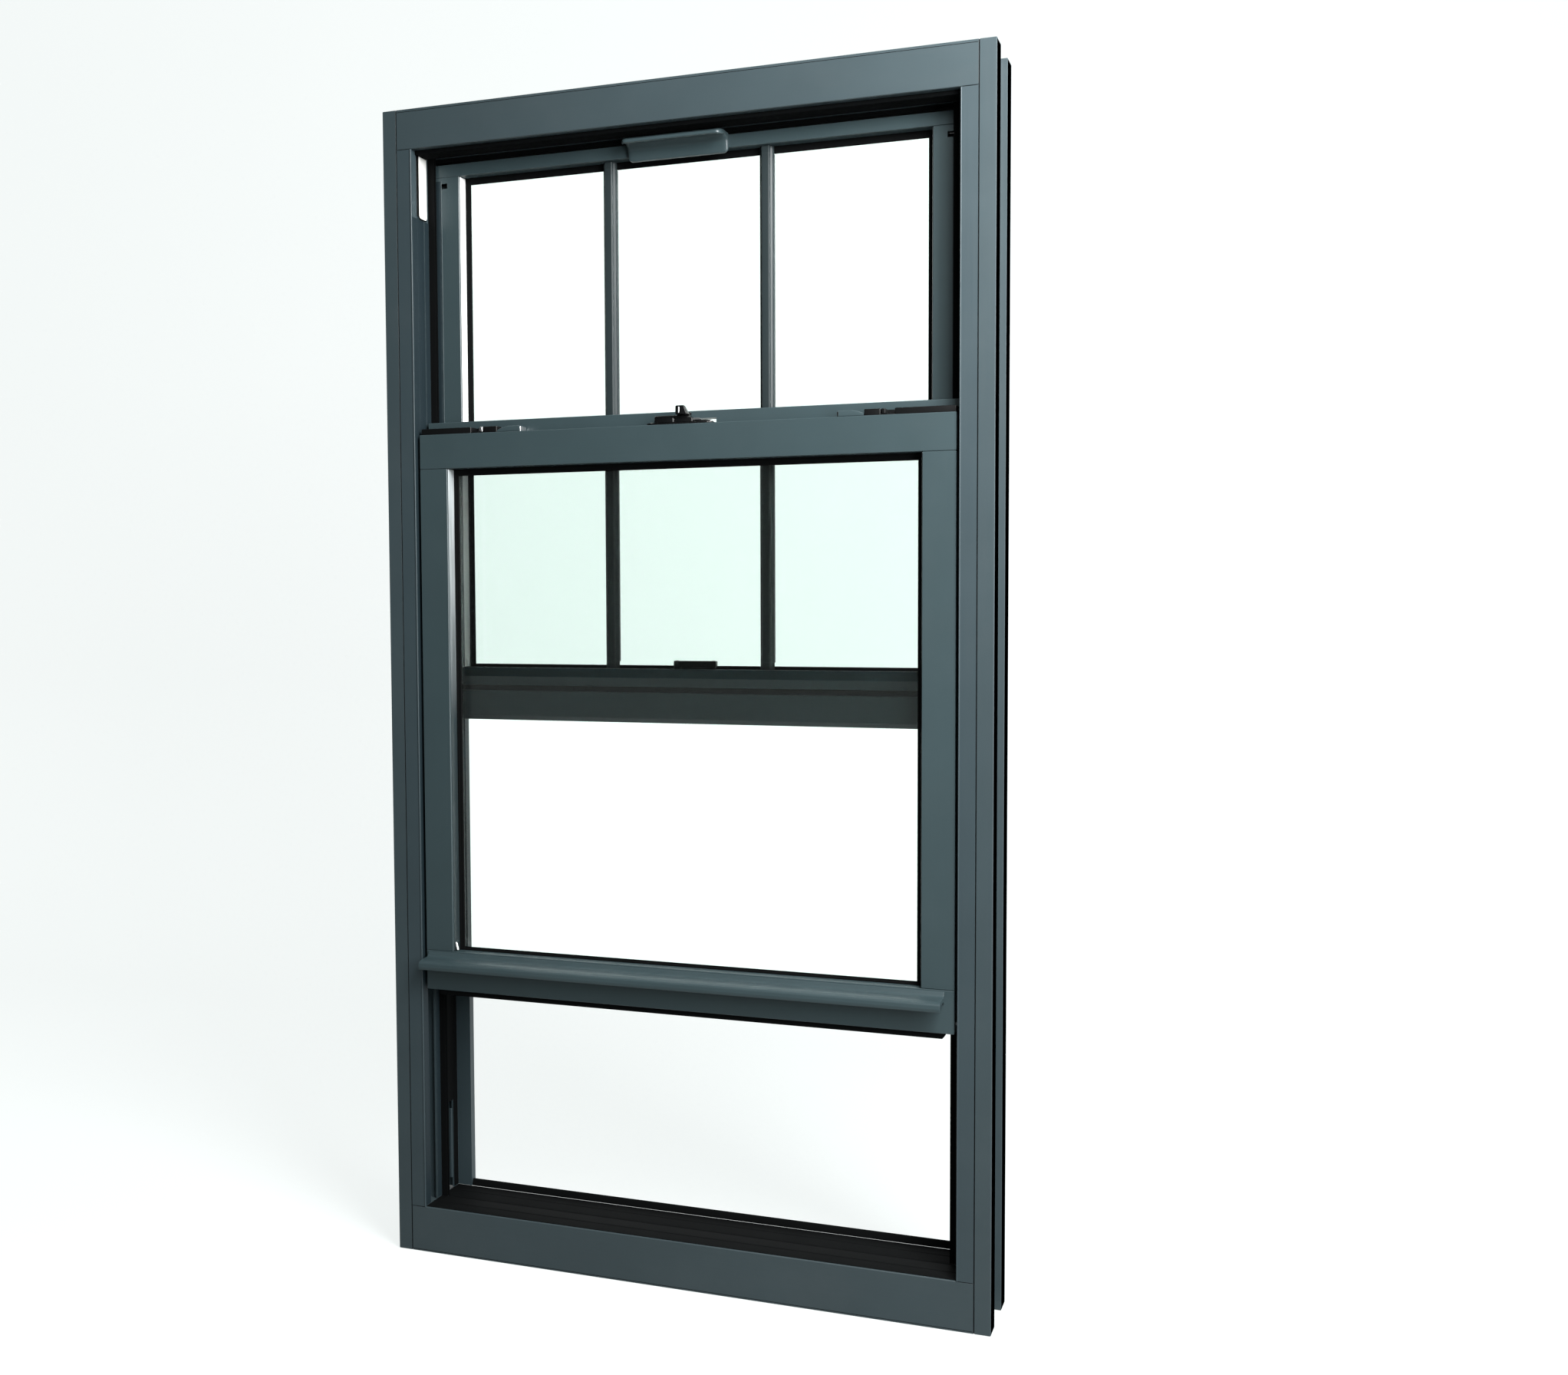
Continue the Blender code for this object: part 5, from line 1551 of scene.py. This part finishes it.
@dataclass
class TiltLatches(Assembly):
    """The tilt latches on the check rail's ends: black housings, thumb pieces and tips painted bright as
    glints on the left and black on the right, grey caps.
    """

    long_part: float = 0.0640
    thumb: float = 0.0742  # outer face of the thumb piece from the sash's edge
    slot_end: float = 0.0788
    black_end: float = 0.0965
    cap_end: float = 0.1240

    def build(self) -> None:
        """Makes both latches."""
        for side in Side:
            self.housing(side)
            self.bolt(side)

    def housing(self, side: Side) -> None:
        """Two black mouldings with the thumb slot between them, then the grey ramped cap."""
        node = f"tilt_latch_{side.word}_housing"
        low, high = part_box(node)
        outer = high.x if side is Side.RIGHT else low.x
        sign = -side.value
        spans = {"long": (0.0, self.long_part), "short": (self.slot_end, self.black_end)}
        for word, (start, end) in spans.items():
            near, far = sorted((outer + sign * start, outer + sign * end))
            ring = block_rings(Vector((near, low.y, low.z)), Vector((far, high.y, high.z)), 0.0012, 0.0009)
            piece = lofted(f"tilt_latch_{side.word}_{word}_moulding", ring)
            self.keep(fit(piece, BLACK_MOULDING, "lower_sash", *([node] if word == "long" else [])))
        near, far = sorted((outer + sign * (self.long_part + HAIR), outer + sign * (self.slot_end - HAIR)))
        slot_wall = block_rings(Vector((near, high.y - 0.0018, low.z)), Vector((far, high.y, high.z)),
                                0.0004, 0.0004)
        wall = lofted(f"tilt_latch_{side.word}_slot_wall", slot_wall)
        self.keep(fit(wall, BLACK_MOULDING, "lower_sash"))
        slot_floor = block_rings(Vector((near, low.y, low.z)), Vector((far, high.y - 0.0021, low.z + 0.0012)),
                                 0.0004, 0.0003)
        floor = lofted(f"tilt_latch_{side.word}_slot_floor", slot_floor)
        self.keep(fit(floor, BLACK_MOULDING, "lower_sash"))
        start = outer + sign * (self.black_end + HAIR)
        end = outer + sign * self.cap_end
        share = np.linspace(0, 1, 18)
        top = low.z + (high.z - low.z) * (0.35 + 0.60 * np.clip(share / 0.45, 0, 1) ** 0.7)
        square = np.array([[-1.0, -1.0], [1.0, -1.0], [1.0, 1.0], [-1.0, 1.0]])
        half_y = (high.y - low.y) / 2 - 0.0006
        unit = filleted(square * [half_y, 0.003], 0.0011) / [half_y, 0.003]
        rings = np.stack(
            [
                np.tile((start + (end - start) * share)[:, None], (1, len(unit))),
                (low.y + high.y) / 2 + half_y * np.tile(unit[None, :, 0], (18, 1)),
                low.z + (top - low.z)[:, None] * (unit[None, :, 1] + 1) / 2,
            ],
            axis=-1,
        )
        self.keep(fit(lofted(f"tilt_latch_{side.word}_cap", rings), SASH_ACROSS, "lower_sash"))
        near, far = sorted((end + sign * HAIR, end + sign * 0.0016))
        tip = block_rings(Vector((near, low.y + 0.0010, low.z)),
                          Vector((far, high.y - 0.0010, high.z - 0.0012)), 0.0006, 0.0006)
        self.keep(fit(lofted(f"tilt_latch_{side.word}_tip", tip), self.glint_finish(side), "lower_sash"))

    @staticmethod
    def glint_finish(side: Side) -> Finish:
        """Finish of a latch's thumb and tip: bright on the left as a painted glint of the right-hand light,
        black on the right.
        """
        return GLINT_ZINC if side is Side.LEFT else BLACK_MOULDING

    def bolt(self, side: Side) -> None:
        """The bolt's bevelled nose at the sash's edge and the ribbed thumb piece in the slot."""
        node = f"tilt_latch_{side.word}_bolt"
        body = f"lower_latch_{side.word}"
        low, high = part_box(node)
        outer = high.x if side is Side.RIGHT else low.x
        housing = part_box(f"tilt_latch_{side.word}_housing")
        near, far = sorted((outer - side.value * self.thumb, outer - side.value * (self.thumb + 0.0040)))
        thumb_low = Vector((near, housing[0].y + 0.0006, housing[0].z + 0.0015))
        thumb_high = Vector((far, high.y - 0.0008, housing[1].z))
        thumb = lofted(f"tilt_latch_{side.word}_thumb", block_rings(thumb_low, thumb_high, 0.0008, 0.0009))
        self.keep(fit(thumb, self.glint_finish(side), body, node))
        nose = np.array([
            (outer, low.y + 0.0002), (outer, high.y - 0.0002), (outer - side.value * 0.010, high.y - 0.0002),
            (outer - side.value * 0.010, low.y + 0.0002),
        ])
        z_low = low.z + 0.0002
        piece = carried(f"tilt_latch_{side.word}_nose", filleted(nose, 0.0008), Lying.Z, z_low,
                        z_low + 0.0032, 0.0005)
        self.keep(fit(piece, STEEL, body))


# The studio ---------------------------------------------------------------------------------


@dataclass
class Studio:
    """Pale floor and backdrop, soft lights and the camera."""

    lens: float = 34.46
    eye: tuple[float, float, float] = (0.6236, -1.526, 0.744)
    yaw: float = 18.37
    pitch: float = -2.90
    roll: float = -0.12
    backdrop: float = 0.9  # distance of the backdrop behind the window
    cove: float = 0.6  # radius of the curve between floor and backdrop
    sheet_glow: float = 0.05  # sheet's own light on the window
    sheet_seen: float = 0.84  # sheet as the camera sees it
    sheet_through: float = 1.22  # sheet as seen through glass
    room_seen: float = 1.15  # surroundings as seen by the camera or through glass

    def build(self) -> None:
        """Makes the floor, the surroundings, the lights and the camera."""
        self.floor()
        self.surroundings()
        self.area("key", (0.82, -0.66, 1.55), (0.26, 0.0, 1.0), (0.6, 0.6), 30.0)
        self.area("right", (1.15, -0.80, 0.95), (0.25, 0.0, 0.75), (0.5, 0.9), 17.0)
        self.camera()
        view = bpy.context.scene.view_settings
        view.view_transform = "Standard"
        view.look = "None"
        view.exposure = 0.0

    def floor(self) -> None:
        """A pale sheet: floor, a quarter circle, then an upright backdrop.

        Along the curve the sheet goes back by cove * sin t and up by cove * (1 - cos t).
        """
        turn = np.linspace(0, math.pi / 2, 24)
        depth = np.concatenate([[-14.0], self.backdrop + self.cove * np.sin(turn),
                                [self.backdrop + self.cove]])
        height = np.concatenate([[0.0], self.cove * (1 - np.cos(turn)), [12.0]]) - 0.0006
        line = np.stack([np.zeros_like(depth), depth, height], axis=-1)
        points = np.concatenate([line - [16.0, 0, 0], line + [16.0, 0, 0]])
        count = len(line)
        faces = [[i, i + 1, count + i + 1, count + i] for i in range(count - 1)]
        sheet = mesh_piece("studio_floor", points, faces)
        material = bpy.data.materials.new("pale studio sheet")
        material.use_nodes = True
        nodes = Nodes(material.node_tree)
        shader = material.node_tree.nodes["Principled BSDF"]
        place = nodes.add("TexCoord").outputs["Object"]
        mottle = nodes.add("TexNoise", {"Vector": place, "Scale": 1.1, "Detail": 1.0})
        colour = nodes.blend(mottle.outputs["Fac"], (0.22, 0.24, 0.24), (0.27, 0.28, 0.28))
        nodes.tree.links.new(colour, shader.inputs["Base Color"])
        shader.inputs["Roughness"].default_value = 0.9
        shader.inputs["Specular IOR Level"].default_value = 0.0
        shader.inputs["Emission Color"].default_value = (0.965, 1.0, 0.99, 1.0)
        path = nodes.add("LightPath")
        depth_share = nodes.add("SeparateXYZ", {0: place})
        behind = nodes.add("MapRange", {0: depth_share.outputs["Y"], 1: 0.0, 2: 0.3})
        glossy = nodes.add("Math", {0: path.outputs["Is Glossy Ray"], 1: behind.outputs[0]},
                           operation="MULTIPLY")
        shown = nodes.add("Math", {0: glossy.outputs[0], 1: self.seen(nodes, behind.outputs[0])},
                          operation="ADD", use_clamp=True)
        through = nodes.spread(path.outputs["Is Transmission Ray"], self.sheet_seen, self.sheet_through)
        mix = {0: shown.outputs[0], 2: self.sheet_glow, 3: through}
        glow = nodes.add("Mix", mix, data_type="FLOAT").outputs[0]
        nodes.tree.links.new(glow, shader.inputs["Emission Strength"])
        sheet.data.materials.append(material)

    def seen(self, nodes: Nodes, behind: bpy.types.NodeSocket) -> bpy.types.NodeSocket:
        """Share of the pale colour that a ray sees: all for the camera's, some through glass.

        Args:
            nodes: The material's nodes.
            behind: 1 where the place or direction lies behind the window, 0 in front.

        Returns:
            The share's socket.
        """
        path = nodes.add("LightPath")
        through = nodes.add(
            "Math", {0: path.outputs["Is Transmission Ray"], 1: behind}, operation="MULTIPLY"
        )
        both = nodes.add(
            "Math", {0: path.outputs["Is Camera Ray"], 1: through.outputs[0]}, operation="ADD",
            use_clamp=True,
        )
        return both.outputs[0]

    def surroundings(self) -> None:
        """A dim room that is brightest in front of the window, high and to the right."""
        world = bpy.data.worlds.new("soft room")
        world.use_nodes = True
        nodes = Nodes(world.node_tree)
        back = world.node_tree.nodes["Background"]
        back.inputs["Color"].default_value = (0.95, 1.0, 1.0, 1.0)
        place = nodes.add("TexCoord").outputs["Generated"]
        toward = Vector((0.80, -0.40, 0.50)).normalized()
        dot = nodes.add("VectorMath", {0: place, 1: toward}, operation="DOT_PRODUCT")
        glow = nodes.add("MapRange", {0: dot.outputs["Value"], 1: 0.1, 2: 1.0, 3: 0.03, 4: 0.9},
                         interpolation_type="SMOOTHSTEP")
        depth_share = nodes.add("SeparateXYZ", {0: place})
        behind = nodes.add("MapRange", {0: depth_share.outputs["Y"], 1: -0.1, 2: 0.1})
        mix = {0: self.seen(nodes, behind.outputs[0]), 2: glow.outputs[0], 3: self.room_seen}
        strength = nodes.add("Mix", mix, data_type="FLOAT")
        nodes.tree.links.new(strength.outputs[0], back.inputs["Strength"])
        bpy.context.scene.world = world

    def area(
        self, name: str, place: tuple[float, float, float], aim: tuple[float, float, float],
        size: tuple[float, float], power: float,
    ) -> None:
        """One soft panel light.

        Args:
            name: Its name.
            place: Where it hangs.
            aim: The point it looks at.
            size: Width and height.
            power: Watts.
        """
        light = bpy.data.lights.new(name, "AREA")
        light.shape = "RECTANGLE"
        light.size, light.size_y = size
        light.energy = power
        lamp = bpy.data.objects.new(name, light)
        direction = Vector(aim) - Vector(place)
        turn = direction.to_track_quat("-Z", "Y").to_matrix().to_4x4()
        lamp.matrix_world = Matrix.Translation(place) @ turn
        bpy.context.scene.collection.objects.link(lamp)

    def camera(self) -> None:
        """The camera, aimed by its yaw, pitch and roll."""
        data = bpy.data.cameras.new("camera")
        data.lens = self.lens
        data.sensor_width = 36.0
        data.clip_end = 60.0
        camera = bpy.data.objects.new("camera", data)
        turn = (
            Matrix.Rotation(math.radians(self.yaw), 4, "Z")
            @ Matrix.Rotation(math.radians(90 + self.pitch), 4, "X")
            @ Matrix.Rotation(math.radians(self.roll), 4, "Z")
        )
        camera.matrix_world = Matrix.Translation(self.eye) @ turn
        bpy.context.scene.collection.objects.link(camera)
        bpy.context.scene.camera = camera


def main() -> None:
    """Builds and reports every sub-assembly in order, then the studio."""
    logging.basicConfig(level=logging.INFO, format="%(message)s")
    assemblies = [
        OuterFrame(),
        TrackLiners(),
        Sashes(),
        Glazing(sash="lower"),
        Glazing(sash="upper"),
        LiftRail(),
        PullHandle(),
        SashLock(),
        TiltLatches(),
    ]
    for assembly in assemblies:
        assembly.build()
        assembly.report()
    Studio().build()


if __name__ == "__main__":
    main()
